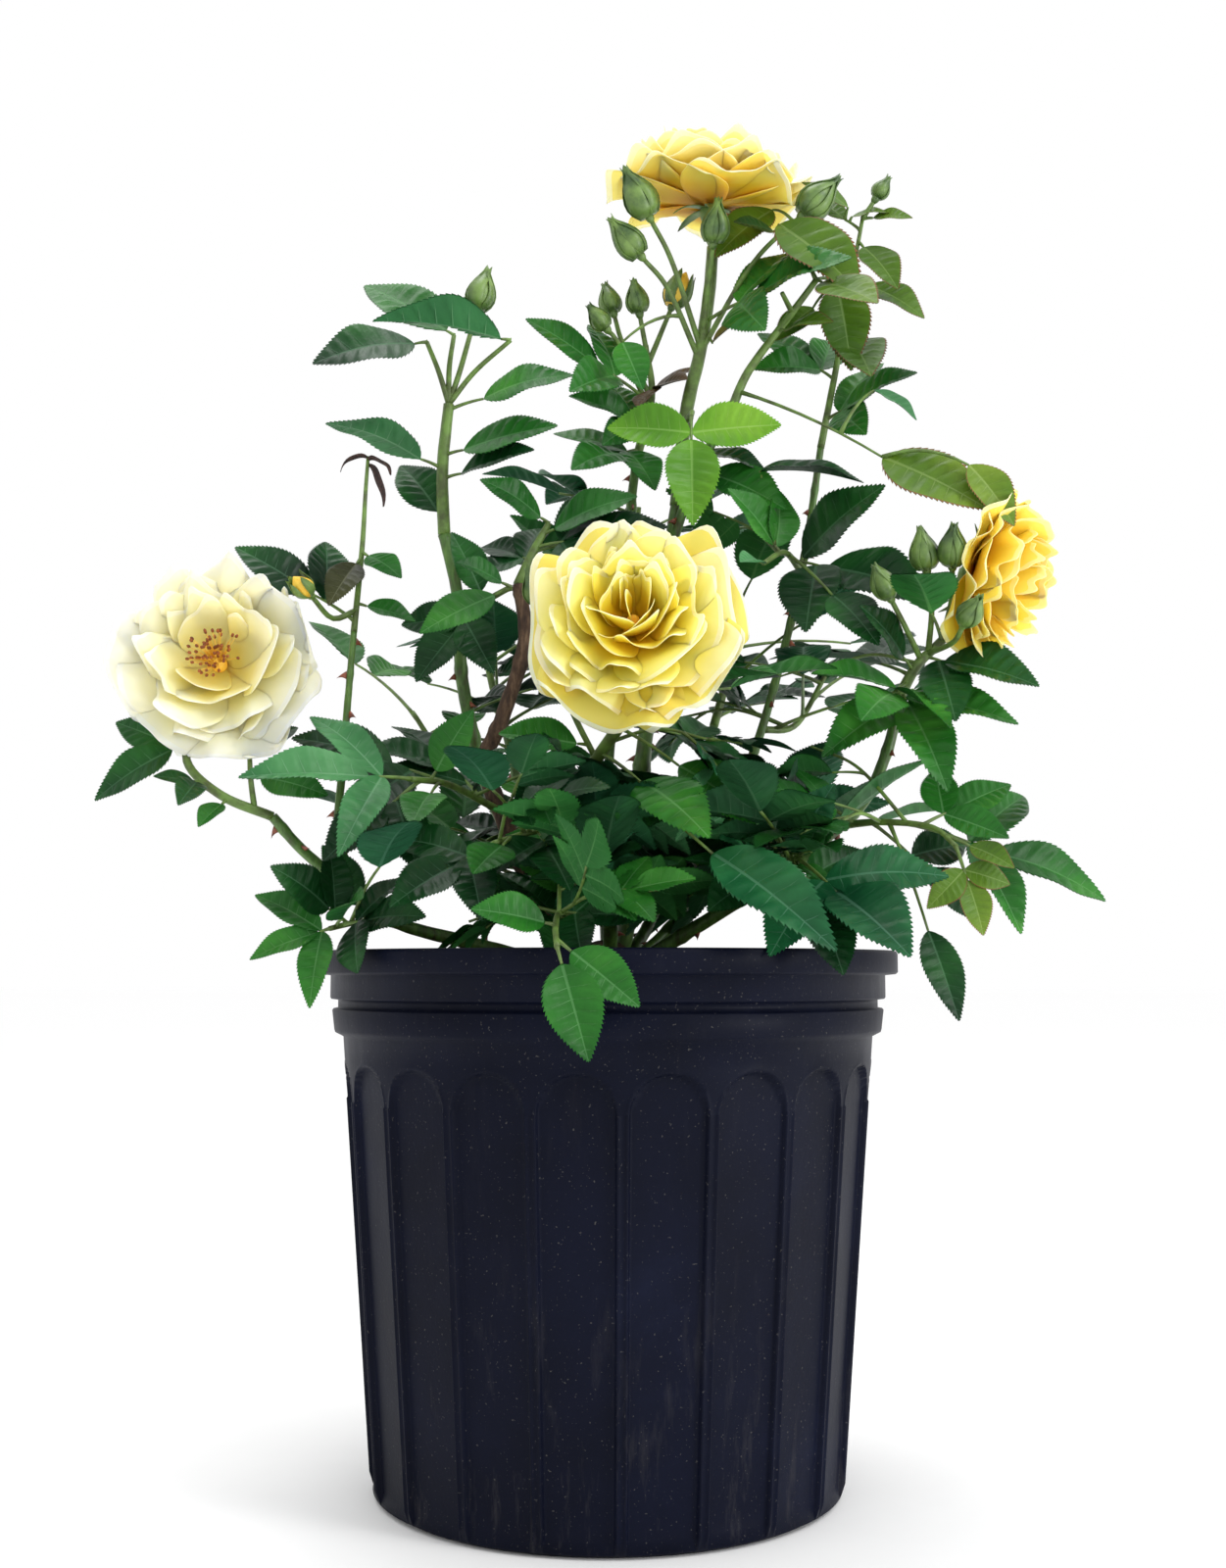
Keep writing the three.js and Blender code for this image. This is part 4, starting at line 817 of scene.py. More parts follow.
def potting_mix():
    draw = seeded(SEEDS["mix"])
    shape = Shape()
    reach = POT["shoulder"] - POT["wall"] - 0.8
    shape.add(*mix_body(draw, reach))
    for _ in range(MIX["chips"]):
        radius = reach * 0.97 * math.sqrt(draw())
        angle = draw() * 2 * math.pi
        body, faces = chip(draw, MIX["chip"][0] + MIX["chip"][1] * draw() ** 2)
        level = SOIL_LEVEL + dealt(draw, *MIX["chip_height"])
        placed = body + np.array([math.cos(angle) * radius, math.sin(angle) * radius, level])
        if np.hypot(*placed[:, :2].T).max() < reach:
            shape.add(placed, faces, 1 if draw() < MIX["pale_share"] else 0)
    dark = plain_finish("potting_mix_dark", (26, 18, 13), (62, 45, 32), 240, 0.95, 0.001)
    light = plain_finish("potting_mix_bark", (70, 50, 34), (120, 92, 66), 180, 0.9, 0.001)
    shape.piece("potting_mix", [dark, light], "potting_mix", ["soil"])


# Canes and the crown, with the relief of their bark
def relief(seed, scale):
    """A lumpy swell along and round a limb, as a share of its radius"""
    draw = seeded(seed)
    waves = [(1 + int(draw() * 5), 0.25 + draw() * 1.4, draw() * 6.28, draw()) for _ in range(9)]

    def swell(step, angles):
        total = np.zeros_like(angles)
        for turns, pace, phase, weight in waves:
            total += weight * np.sin(turns * angles + pace * step + phase)
        return 1 + scale * total / 4

    return swell


# Knots of the canes: how far apart, how long, the radius between them and how much more at them
KNOT = {"every": 34, "length": 2.2, "waist": 0.9, "swell": 0.14}
# Thorns: how far apart, from which share of a cane to which, the low end and the spread of their length, how
# far they hook down, their footprint up and across the cane, how deep they are rooted, how far out they start
# as a share of the cane's radius, and how far they turn round it in degrees
THORN = {
    "every": 15, "from": 0.04, "to": 0.97, "length": (3.2, 2.2), "hook": 0.45, "tall": 2.1, "wide": 0.8,
    "sunk": 0.6, "seat": 0.8, "jitter": 30,
}


def cane_line(path, step):
    shares = np.linspace(0, 1, max(6, int(path.length / step)))
    return shares, path.at(shares)


def knotted(radii, shares, length):
    """A cane's radii from foot to tip, which swell at its knots"""
    tapered = radii[0] + (radii[1] - radii[0]) * shares
    every = KNOT["every"] / length
    apart = np.abs((shares / every + 0.5) % 1 - 0.5) * every * length
    return tapered * (KNOT["waist"] + KNOT["swell"] * np.exp(-((apart / KNOT["length"]) ** 2)))


def canes(paths):
    green, old, thorns = Shape(), Shape(), Shape()
    for number, row in enumerate(CANES):
        name = row["name"]
        path = paths[name]
        shares, points = cane_line(path, 2.2)
        radii = knotted(row["radii"], shares, path.length)
        is_old = name == "cane_old"
        lumps = relief(SEEDS["cane_bark"] + number, 0.16 if is_old else 0.05)
        body, faces = tube(points, radii, 14, lumps)
        (old if is_old else green).add(body, faces)
        if not is_old:
            add_thorns(thorns, path, row["radii"], SEEDS["thorns"] + number)
    cane_nodes = [row["name"] for row in CANES if row["name"] != "cane_old"]
    skin = bark_finish("cane_green", [(62, 60, 32), (70, 106, 42), (98, 136, 60)], 260, 0.0006, 0.42)
    bark = bark_finish("cane_bark", [(38, 27, 20), (74, 54, 40), (118, 94, 72)], 320, 0.002, 0.85)
    prickle = plain_finish("thorn", (96, 46, 34), (150, 84, 58), 300, 0.4)
    green.piece("canes", [skin], "cane_wood", cane_nodes)
    old.piece("old_cane", [bark], "old_bark", ["cane_old"])
    thorns.piece("thorns", [prickle], "cane_wood")


def thorn(root, outward, down, length):
    """A prickle: a flat-footed cone that hooks downward"""
    side = unit(np.cross(outward, down))
    count, angles = 4, ring_angles(6)
    rings = []
    for i in range(count):
        share = i / count
        middle = root + outward * length * share + down * length * THORN["hook"] * share**2
        tall, wide = THORN["tall"] * (1 - share) ** 1.3, THORN["wide"] * (1 - share) ** 1.1
        rings.append(ring_about(middle, down * tall, side * wide, angles, 1.0))
    tip = root + outward * length + down * length * THORN["hook"]
    points = np.vstack(rings + [[root - outward * THORN["sunk"]], [tip]])
    return points, capped_rings(count, len(angles))


def add_thorns(shape, path, radii, seed):
    draw = seeded(seed)
    count = int(path.length / THORN["every"])
    for i in range(count):
        share = (i + 0.3 + 0.5 * draw()) / count
        if not THORN["from"] <= share <= THORN["to"]:
            continue
        heading = path.heading(share)
        outward = leaning(*axes_for(heading), math.radians(GOLDEN_ANGLE * i + THORN["jitter"] * draw()))
        radius = radii[0] + (radii[1] - radii[0]) * share
        root = path.one(share) + outward * radius * THORN["seat"]
        shape.add(*thorn(root, outward, -heading, dealt(draw, *THORN["length"])))


def crown():
    foot = SOIL_LEVEL + 0.3
    tall = CROWN["height"]
    outline = [
        (CROWN["flare"] - 1, -3), (CROWN["flare"], 0), (CROWN["flare"] * 0.86, 0.12), (CROWN["waist"], 0.3),
        (CROWN["waist"] * 1.1, 0.45), (CROWN["knuckle"], 0.6), (CROWN["knuckle"] * 0.93, 0.75),
        (CROWN["waist"] * 0.75, 0.95), (CROWN["waist"] * 0.4, 1.0),
    ]
    rows = densified([(r, foot + (z if z < 0 else z * tall)) for r, z in outline], 1.6)
    points = np.array([[0, 0, z] for _, z in rows])
    body, faces = tube(points, rows[:, 0], 40, relief(SEEDS["crown_bark"], 0.13))
    shape = Shape()
    shape.add(body, faces)
    bark = bark_finish("crown_bark", [(40, 30, 22), (82, 62, 44), (128, 104, 80)], 260, 0.002, 0.88)
    shape.piece("crown_bark", [bark], "old_bark", ["crown"])


# Leaves. A blade is laid out along its midrib: side veins run forward in slanted rows, the blade stands
# up between them, and saw teeth line the edge. Sizes are shares of the blade's length
BLADE = {"width": 0.54, "slant": 0.08, "foot": 0.8, "point": 1.1, "gap": 0.006, "fullness": 0.52}
MIDRIB = {"root": 0.016, "tip": 0.004}
VEIN = {"width": 0.009, "reach": 0.88, "raised": 0.0015}
QUILT = {"between_veins": 0.024, "at_veins": -0.008, "width": 0.48}
# The low end and the spread of a blade's fold, arch, droop, wave, phase of the wave, and twist
BLADE_RANGES = [(0.12, 0.36), (0.02, 0.04), (-0.02, 0.14), (0.03, 0.06), (0, 1), (-0.1, 0.2)]
KINDS = 8


def half_width(along):
    a, b = BLADE["foot"], BLADE["point"]
    peak = (a / (a + b)) ** a * (b / (a + b)) ** b
    return 0.5 * BLADE["width"] * np.clip(along, 0, 1) ** a * np.clip(1 - along, 0, 1) ** b / peak


class Blade:
    """One leaflet of length 1: its points, the faces of its blade, of its veins and of its teeth"""

    def __init__(self, rows, vein_every, bends):
        self.bends = bends
        self.vein_every = vein_every
        self.points = []
        self.faces = []
        self.veins = []
        self.teeth = []
        self.places = np.concatenate([[0.02], np.arange(1, rows) / rows, [0.985]])
        self.lay_out()
        self.line_edges()
        self.draw_veins()

    def lift(self, along, across):
        fold, arch, droop, wave, phase, twist = self.bends
        ripple = wave * math.sin(2 * math.pi * (1.6 * along + phase)) * abs(across)
        bend = arch * math.sin(math.pi * along) - droop * along**2
        return bend + fold * abs(across) + ripple + twist * along * across

    def at(self, k, c):
        """A point of row k, c being its share of the half width"""
        t = self.places[k]
        along = t + abs(c) * BLADE["slant"] * math.sin(math.pi * t)
        across = math.copysign(half_width(along) * abs(c), c)
        fullness = 1 - min(abs(abs(c) - BLADE["fullness"]) / QUILT["width"], 1)
        raised = QUILT["between_veins" if k % self.vein_every else "at_veins"]
        quilt = raised * math.sin(math.pi * t) * fullness
        return np.array([along, across, self.lift(along, across) + quilt])

    def rib(self, k, hand):
        t = self.places[k]
        half = MIDRIB["root"] + (MIDRIB["tip"] - MIDRIB["root"]) * t
        half = min(half, half_width(t) * 0.4)
        return np.array([t, hand * half, self.lift(t, 0) + self.bends[0] * half])

    def lay_out(self):
        for k in range(len(self.places)):
            full = BLADE["fullness"]
            row = [self.at(k, -1), self.at(k, -full), self.rib(k, -1), self.rib(k, 1), self.at(k, full)]
            self.points += row + [self.at(k, 1)]
        count = len(self.places)
        for k in range(count - 1):
            for j in range(5):
                a, b = k * 6 + j, k * 6 + j + 1
                (self.veins if j == 2 else self.faces).extend([(a, a + 6, b + 6), (a, b + 6, b)])
        foot = len(self.points)
        last = (count - 1) * 6
        self.points += [np.array([0, 0, self.lift(0, 0)]), np.array([1, 0, self.lift(1, 0)])]
        for j in range(5):
            self.faces += [(foot, j, j + 1), (foot + 1, last + j + 1, last + j)]

    def line_edges(self):
        for hand, column in ((-1, 0), (1, 5)):
            for k in range(len(self.places) - 1):
                a, b = self.points[k * 6 + column], self.points[(k + 1) * 6 + column]
                size = np.linalg.norm(b - a) * 0.5
                first = len(self.points)
                self.points += [a, a + (b - a) * 0.95 + np.array([size * 0.4, hand * size, 0]), b]
                self.teeth.append((first, first + 1, first + 2))

    def draw_veins(self):
        for k in range(self.vein_every, len(self.places) - 2, self.vein_every):
            for hand in (-1, 1):
                near, far = self.at(k, hand * BLADE["fullness"]), self.at(k, hand * VEIN["reach"])
                root = self.rib(k, hand)
                wide = np.array([VEIN["width"], 0, 0])
                lifted = np.array([0, 0, VEIN["raised"]])
                first = len(self.points)
                foot = [root + lifted, root + wide + lifted]
                self.points += foot + [near + lifted, near + wide * 0.6 + lifted, far + lifted]
                self.veins += [(first, first + 1, first + 3), (first, first + 3, first + 2),
                               (first + 2, first + 3, first + 4)]

    def sheets(self):
        """Points of both sides, all the faces, and the material slot of each face"""
        points = np.array(self.points)
        parts = [np.array(self.faces), np.array(self.veins), np.array(self.teeth)]
        for faces in parts:
            a, b, c = (points[faces[:, i]] for i in range(3))
            downward = np.cross(b - a, c - a)[:, 2] < 0
            faces[downward] = faces[downward][:, ::-1]
        below = points - np.array([0, 0, BLADE["gap"]])
        ribs = 2 * (len(self.places) - 1)
        below[np.unique(parts[1][ribs:])] -= np.array([0, 0, 2 * VEIN["raised"]])
        backs = [faces[:, ::-1] + len(points) for faces in parts]
        sizes = [len(faces) for faces in parts + backs]
        return np.vstack([points, below]), np.vstack(parts + backs), np.repeat([0, 2, 3, 1, 2, 1], sizes)


def blade_kinds(rows, vein_every, seed):
    """Several shapes of blade, so that no two neighbours look alike"""
    draw = seeded(seed)
    bends = [[dealt(draw, *ends) for ends in BLADE_RANGES] for _ in range(KINDS)]
    return [Blade(rows, vein_every, row).sheets() for row in bends]


FINE_BLADES = blade_kinds(24, 3, SEEDS["fine_blades"])
SMALL_BLADES = blade_kinds(14, 2, SEEDS["small_blades"])


class Leaf:
    """Where one leaflet lies: its root, the way it points, its upper side and its length"""

    def __init__(self, root, heading, normal, length, tone, kind, fine=True, slim=1.0):
        self.root = root
        self.heading = unit(heading)
        self.normal = unit(normal - self.heading * normal.dot(self.heading))
        self.side = np.cross(self.normal, self.heading)
        self.length = length
        self.tone = tone
        self.kind = kind
        self.fine = fine
        self.slim = slim

    def place(self, points):
        return self.root + self.length * (
            np.outer(points[:, 0], self.heading) + np.outer(points[:, 1] * self.slim, self.side)
            + np.outer(points[:, 2], self.normal)
        )

    def samples(self):
        rows = [(t, c * half_width(t), 0.02) for t in (0.3, 0.6, 0.92) for c in (-0.7, 0.0, 0.7)]
        return self.place(np.array(rows))


def compound(root, tip, length, pairs, splay, toward, draw):
    """The source's compound leaf: the end of its stalk, its normal, and for each leaflet its place, heading,
    normal, length and share of the stalk"""
    chord = tip - root
    heading = unit(chord)
    stalk = max(np.linalg.norm(chord) - length, LEAF["shortest_stalk"])
    normal = unit(toward - heading * toward.dot(heading))
    side = np.cross(heading, normal)
    end = root + heading * stalk
    blades = []
    for row, share in enumerate(PAIR_PLACES[pairs]):
        for hand in (-1, 1):
            out = leaning(heading, side, math.radians(splay) * hand)
            blades.append((root + (end - root) * share, out, PAIR_SIZES[row], share))
    made = []
    for at, out, size, share in blades:
        lean = math.radians(LEAF["lean"] * (2 * draw() - 1))
        size *= 0.94 + 0.12 * draw()
        made.append((at, out, leaning(normal, np.cross(out, normal), lean), length * size, share))
    made.append((end, heading, normal, np.linalg.norm(tip - end), 1.0))
    return end, normal, made


def turned(root, tip, nudge):
    """A leaf's tip after one of the turns that the source tries"""
    chord = tip - root
    across = unit(np.cross(chord, UP))
    chord = turned_about(chord, UP, math.radians(nudge[0]))
    return root + turned_about(chord, across, math.radians(nudge[1]))


def upper_side(faces, facing):
    return leaning(UP, facing, math.radians(faces))


class Crowd:
    """Points of limbs, kept in cells that are wider than any gap, to find whose are near"""

    cell = 6.0

    def __init__(self):
        self.cells = {}

    def add(self, points, owner):
        for p in points:
            key = tuple((p // self.cell).astype(int))
            self.cells.setdefault(key, []).append((p, owner))

    def clear(self, points, gap, excused):
        """Whether no point lies within the gap of another owner's"""
        for p in points:
            cell = (p // self.cell).astype(int)
            for key in product(*((c - 1, c, c + 1) for c in cell)):
                for other, owner in self.cells.get(key, ()):
                    if owner != excused and np.abs(other - p).max() < gap:
                        return False
        return True


def bowed(root, end, normal, shares, bulge=STALK["bulge"]):
    """Points of a stalk that bows towards its normal, by their shares of its length"""
    shares = np.atleast_1d(shares)
    bow = 4 * bulge * np.linalg.norm(end - root) * shares * (1 - shares)
    return root + np.outer(shares, end - root) + np.outer(bow, normal)


# How many triangles of leaves go into one piece, before another is begun
LEAF_PIECE_SIZE = 150000


class Bush:
    """Everything that grows: leaflets, their stalks and the finer twigs"""

    def __init__(self):
        self.leaves = []
        self.wood = Shape()
        self.limbs = Crowd()
        self.left_out = []
        self.tones = {}
        self.lines = {}

    def add_leaf(self, leaf, mass):
        self.leaves.append(leaf)
        self.tones.setdefault(leaf.tone, set()).add(mass)

    def note_line(self, points, mass):
        self.lines.setdefault(mass, []).append(points)

    def add_stalk(self, root, end, normal, mass, thick=1.0, bulge=STALK["bulge"]):
        shares = np.linspace(0, 1, 8)
        points = bowed(root, end, normal, shares, bulge)
        radii = (STALK["root"] + (STALK["tip"] - STALK["root"]) * shares) * thick
        radii[0] *= STALK["heel"]
        self.wood.add(*tube(points, radii, 6))
        self.note_line(points, mass)

    def add_twig(self, path, radii, sides=8):
        shares, points = cane_line(path, 3.0)
        swell = relief(len(points), 0.04)
        self.wood.add(*tube(points, radii[0] + (radii[1] - radii[0]) * shares, sides, swell))


# Points of a leaflet in the solids, as shares of its length: along, across and up
SOLID_CORNERS = [(0.6, 0.263, 0.05), (0.6, -0.263, 0.05), (1.0, 0.0, -0.01)]


def off_solid(solid, at, heading, normal, length):
    """How far the corners of a leaflet lie from the mass's solid, in metres"""
    side = np.cross(heading, normal)
    worst = 0.0
    for along, across, rise in SOLID_CORNERS:
        corner = at + length * (heading * along + side * across + normal * rise)
        worst = max(worst, solid.find_nearest(Vector(corner * MM))[3])
    return worst


def dress_leaf(bush, mass, root, tip, length, pairs, splay, toward, tone, seed):
    """Finds the way that the source turned this leaf, and dresses what its solid holds"""
    name, solid = mass["name"], mass["solid"]
    tries = []
    for nudge in NUDGES:
        aimed = turned(root, tip, nudge)
        heading = unit(aimed - root)
        # the upper side is squared at every turn and carried on to the next one
        toward = unit(toward - heading * toward.dot(heading))
        end, normal, blades = compound(root, aimed, length, pairs, splay, toward, seeded(seed))
        off = off_solid(solid, *blades[-1][:4])
        tries.append((off, len(tries), end, normal, blades))
    off, _, end, normal, blades = min(tries)
    if off > SAME_PLACE:
        return
    bush.add_stalk(root, end, normal, name)
    draw = seeded(seed * 31 + 7)
    slim = SLIM.get(tuple(tip), 1.0)
    for at, heading, upper, size, share in blades:
        placed = bowed(root, end, normal, share)[0] if share < 1 else at
        kind = int(draw() * KINDS)
        leaf = Leaf(placed, at + heading * size - placed, upper, size, tone, kind, slim=slim)
        if share == 1 or off_solid(solid, at, heading, upper, size) < SAME_PLACE:
            bush.add_leaf(leaf, name)
        else:
            bush.left_out.append((leaf, name))


def solid_tree(node):
    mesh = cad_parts[node].data
    return BVHTree.FromPolygons([v.co for v in mesh.vertices], [tuple(p.vertices) for p in mesh.polygons])


def left_open(middle, draw=None):
    """Whether a leaf is left out here: by a draw, or without one only where nothing may grow"""
    for left, right, low, high, back, share in OPENINGS:
        if left < middle[0] < right and low < middle[2] < high and middle[1] < back:
            return share == 1 or (draw is not None and draw() < share)
    return False


def grow_limbs(bush, mass, paths):
    """A mass's stem and twigs, where its solid has them"""
    name = mass["name"]
    mass["solid"] = solid_tree(name)
    stem = Path([paths[mass["cane"]].one(mass["share"]), *mass["stem"]])
    mass["paths"] = [stem]
    bush.add_twig(stem, mass["radii"])
    bush.limbs.add(stem.at(np.linspace(0.1, 1, 16)), name)
    bush.note_line(stem.at(np.linspace(0.05, 1, 40)), name)
    for share, points, _ in mass["twigs"]:
        path = Path([stem.one(share), *points])
        mass["paths"].append(path)
        bush.add_twig(path, TWIG_RADII)
        bush.limbs.add(path.at(np.linspace(0.2, 1, 8)), name)
        bush.note_line(path.at(np.linspace(0.05, 1, 20)), name)


def named_leaves(bush, index, mass):
    """The leaves that the mass's rows name, but for those where the photo shows an opening"""
    for row, (limb, share, tip, length, pairs, faces, tone, *splay) in enumerate(mass["leaves"]):
        if left_open(tip):
            continue
        root = mass["paths"][limb].one(share)
        angle = splay[0] if splay else LEAF["splay"]
        dress_leaf(bush, mass, root, vec(tip), length, pairs, angle, upper_side(faces, TO_VIEWER), tone,
                   index * 1000 + row)


def fill_leaves(bush, index, mass, thin):
    """The leaves that the rule deals round a mass's stem, thinned where the photo shows sky"""
    draw = seeded(index * 7919 + 17)
    for i in range(mass["fill"]):
        root = mass["paths"][0].one((i + 0.6) / mass["fill"])
        outward = level_way(GOLDEN_ANGLE * i + FILL["turn"] * index + FILL["jitter"] * (draw() - 0.5))
        climb = math.radians(dealt(draw, *FILL["climb"]))
        reach = dealt(draw, *FILL["reach"])
        tip = root + outward * reach * math.cos(climb) + UP * reach * math.sin(climb)
        length = dealt(draw, *FILL["length"])
        pairs = 2 if i % 3 == 0 else 1
        tone = "mid" if i % 3 == 1 else "blue" if i % 4 == 2 else "dark"
        if left_open((root + tip) / 2, thin) or left_open(tip, thin):
            continue
        dress_leaf(bush, mass, root, tip, length, pairs, LEAF["splay"], upper_side(FILL["faces"], outward),
                   tone, index * 1000 + 500 + i)


def dress_masses(bush, paths):
    """Stems, twigs and leaves where the solids have them"""
    for index, mass in enumerate(FOLIAGE):
        grow_limbs(bush, mass, paths)
        named_leaves(bush, index, mass)
    thin = seeded(SEEDS["thinning"])
    for index, mass in enumerate(FOLIAGE):
        fill_leaves(bush, index, mass, thin)


def inside_reach(points):
    low, high = points.min(0), points.max(0)
    return (max(-low[0], high[0]) < CROWN_REACH["x"] and max(-low[1], high[1]) < CROWN_REACH["y"]
            and high[2] < CROWN_REACH["top"] and low[2] > CROWN_REACH["bottom"])


# The space that a bloom keeps free: how far behind its centre as a share of its depth, how far before it,
# and how wide as a share of its radius
BLOOM_SPACE = {"behind": 0.8, "before": 110, "beside": 1.12}


def before_bloom(points):
    """Whether any of the points lies in a bloom or in the open space that it faces"""
    for row in BLOOMS:
        axis = unit(vec(row["faces"]))
        apart = points - vec(row["centre"])
        along = apart @ axis
        beside = np.linalg.norm(apart - np.outer(along, axis), axis=1)
        near = (along > -BLOOM_SPACE["behind"] * row["depth"]) & (along < BLOOM_SPACE["before"])
        near &= beside < row["radius"] * BLOOM_SPACE["beside"]
        if near.any():
            return True
    return False


def in_core(points):
    """Whether all the points lie in the dense middle of the bush, beyond which the sky shows through"""
    heights, left, right = zip(*CORE)
    inside = points[:, 2] < heights[-1]
    inside &= points[:, 0] > np.interp(points[:, 2], heights, left)
    inside &= points[:, 0] < np.interp(points[:, 2], heights, right)
    return inside.all()


def clears(bush, leaf, mass, gap):
    """Whether a leaf keeps inside the crown, clear of the blooms and off the limbs of other masses"""
    points = leaf.samples()
    return inside_reach(points) and not before_bloom(points) and bush.limbs.clear(points, gap, mass)


def single_leaves(bush):
    """The named leaves that the solids left out, and those that only the photo shows"""
    for leaf, mass in bush.left_out:
        if mass in FULLER and clears(bush, leaf, mass, FULLER_GAP):
            bush.add_leaf(leaf, mass)
    draw = seeded(SEEDS["single_leaves"])
    for name, foot, tip, faces, tone in SINGLE_LEAVES:
        line = np.vstack(bush.lines[name])
        start = line[np.argmin(np.linalg.norm(line - vec(foot), axis=1))]
        toward = upper_side(faces, TO_VIEWER)
        chord = vec(tip) - vec(foot)
        bush.add_stalk(start, vec(foot), UP, name, bulge=SINGLE_BOW)
        leaf = Leaf(vec(foot), chord, toward, np.linalg.norm(chord), tone, int(draw() * KINDS))
        bush.add_leaf(leaf, name)


def deal_tone(draw):
    """Half of the smaller leaves are dark, and few are pale"""
    place = draw()
    return "dark" if place < 0.5 else "mid" if place < 0.78 else "blue" if place < 0.95 else "pale"


def finer_leaf(bush, mass, root, tip, length, toward, tone, seed):
    """One smaller compound leaf, kept where its end leaflet is clear; returns how many leaflets it has"""
    draw = seeded(seed)
    end, normal, blades = compound(root, tip, length, FINER["pairs"], LEAF["splay"], toward, draw)
    kept = []
    for at, heading, upper, size, share in blades:
        placed = bowed(root, end, normal, share)[0] if share < 1 else at
        leaf = Leaf(placed, heading, upper, size, tone, int(draw() * KINDS), fine=False)
        points = leaf.samples()
        grows = in_core(points) and not left_open(points.mean(0))
        if grows and clears(bush, leaf, mass, FINER["leaf_gap"]):
            kept.append((leaf, share))
    if not kept or kept[-1][1] < 1:
        return 0
    bush.add_stalk(root, end, normal, mass, FINER["stalk_size"])
    for leaf, _ in kept:
        bush.add_leaf(leaf, mass)
    return len(kept)


def leaves_along(bush, mass, path, heading, outward, draw, seed):
    """Smaller leaves dealt round a fine twig, the last at its tip; returns how many leaflets they have"""
    grown = 0
    for j in range(FINER["leaves"]):
        around = leaning(*axes_for(heading), math.radians(GOLDEN_ANGLE * j + FINER["jitter"] * draw()))
        spread = 0.0 if j == FINER["leaves"] - 1 else FINER["spread"]
        aim = unit(heading + spread * around - UP * FINER["droop"])
        base = path.one((j + 1) / FINER["leaves"])
        length = dealt(draw, *FINER["length"])
        tip = base + aim * (length + FINER["stalk"][0] + FINER["stalk"][1] * draw())
        toward = upper_side(FINER["faces"], outward)
        grown += finer_leaf(bush, mass, base, tip, length, toward, deal_tone(draw), seed + j)
    return grown


def finer_growth(bush):
    """Twigs finer than the solids, dealt round each stem, with smaller leaves along them"""
    for index, mass in enumerate(FOLIAGE):
        name, stem = mass["name"], mass["paths"][0]
        high = np.interp(stem.one(1.0)[2], [FINER["from"], FINER["to"]], [0, 1])
        count = round(FINER["low"] + (FINER["high"] - FINER["low"]) * high)
        draw = seeded(index * 613 + 5)
        for i in range(count):
            root = stem.one(FINER["along"][0] + FINER["along"][1] * (i + draw()) / count)
            outward = level_way(GOLDEN_ANGLE * (i + 0.5) + FINER["turn"] * index)
            heading = leaning(outward, UP, math.radians(dealt(draw, *FINER["climb"])))
            reach = dealt(draw, *FINER["reach"])
            middle = root + heading * reach * 0.5 + UP * reach * FINER["arch"]
            path = Path([root, middle, root + heading * reach])
            line = path.at(np.linspace(0.25, 1, 6))
            free = inside_reach(line) and not before_bloom(line)
            if not free or not bush.limbs.clear(line, FINER["twig_gap"], name):
                continue
            if leaves_along(bush, name, path, heading, outward, draw, index * 5000 + i * 50):
                bush.add_twig(path, FINER["radii"], 6)
                bush.limbs.add(line, name)


def leaf_pieces(bush):
    """Leaves of one tone make one piece, or more where they are too many for one"""
    kinds = {True: FINE_BLADES, False: SMALL_BLADES}
    for tone in sorted(bush.tones):
        materials = leaf_materials(tone)
        nodes = sorted(bush.tones[tone])
        shape, number = Shape(), 1
        for leaf in [leaf for leaf in bush.leaves if leaf.tone == tone]:
            points, faces, slots = kinds[leaf.fine][leaf.kind]
            shape.add(leaf.place(points), faces, slots)
            if shape.size() > LEAF_PIECE_SIZE:
                shape.piece(f"leaves_{tone}_{number}", materials, "leaf", nodes)
                shape, number = Shape(), number + 1
        if shape.size():
            shape.piece(f"leaves_{tone}_{number}", materials, "leaf", nodes)


# Buds: a pointed egg held by five sepals. Of a sepal: the rows of its grid, its thickness, and how far its
# edges fall back as a share of its half width
SEPAL = {"rows": 9, "thickness": 0.35, "falls": 0.18}


def sepal(base, heading, outward, length, width, flare, curl):
    """A narrow pointed sepal that starts on the bud and follows it, then leans away"""
    side = np.cross(outward, heading)
    grid = np.zeros((SEPAL["rows"], 3, 3))
    for i, t in enumerate(np.linspace(0, 1, SEPAL["rows"])):
        away = flare(t) + curl * t**3
        half = width * 0.5 * (math.sin(math.pi * min(1, 0.25 + 0.75 * t)) ** 0.7 if t < 1 else 0.02)
        middle = base + heading * length * t + outward * away
        for j, c in enumerate((-1, 0, 1)):
            grid[i, j] = middle + side * half * c - outward * SEPAL["falls"] * half * abs(c)
    return sheet(grid, -SEPAL["thickness"])


def egg_radius(girth, share):
    """Radius of a bud's egg at a share of its height"""
    return girth * math.sin(math.pi * (0.12 + 0.86 * share) ** 0.8)


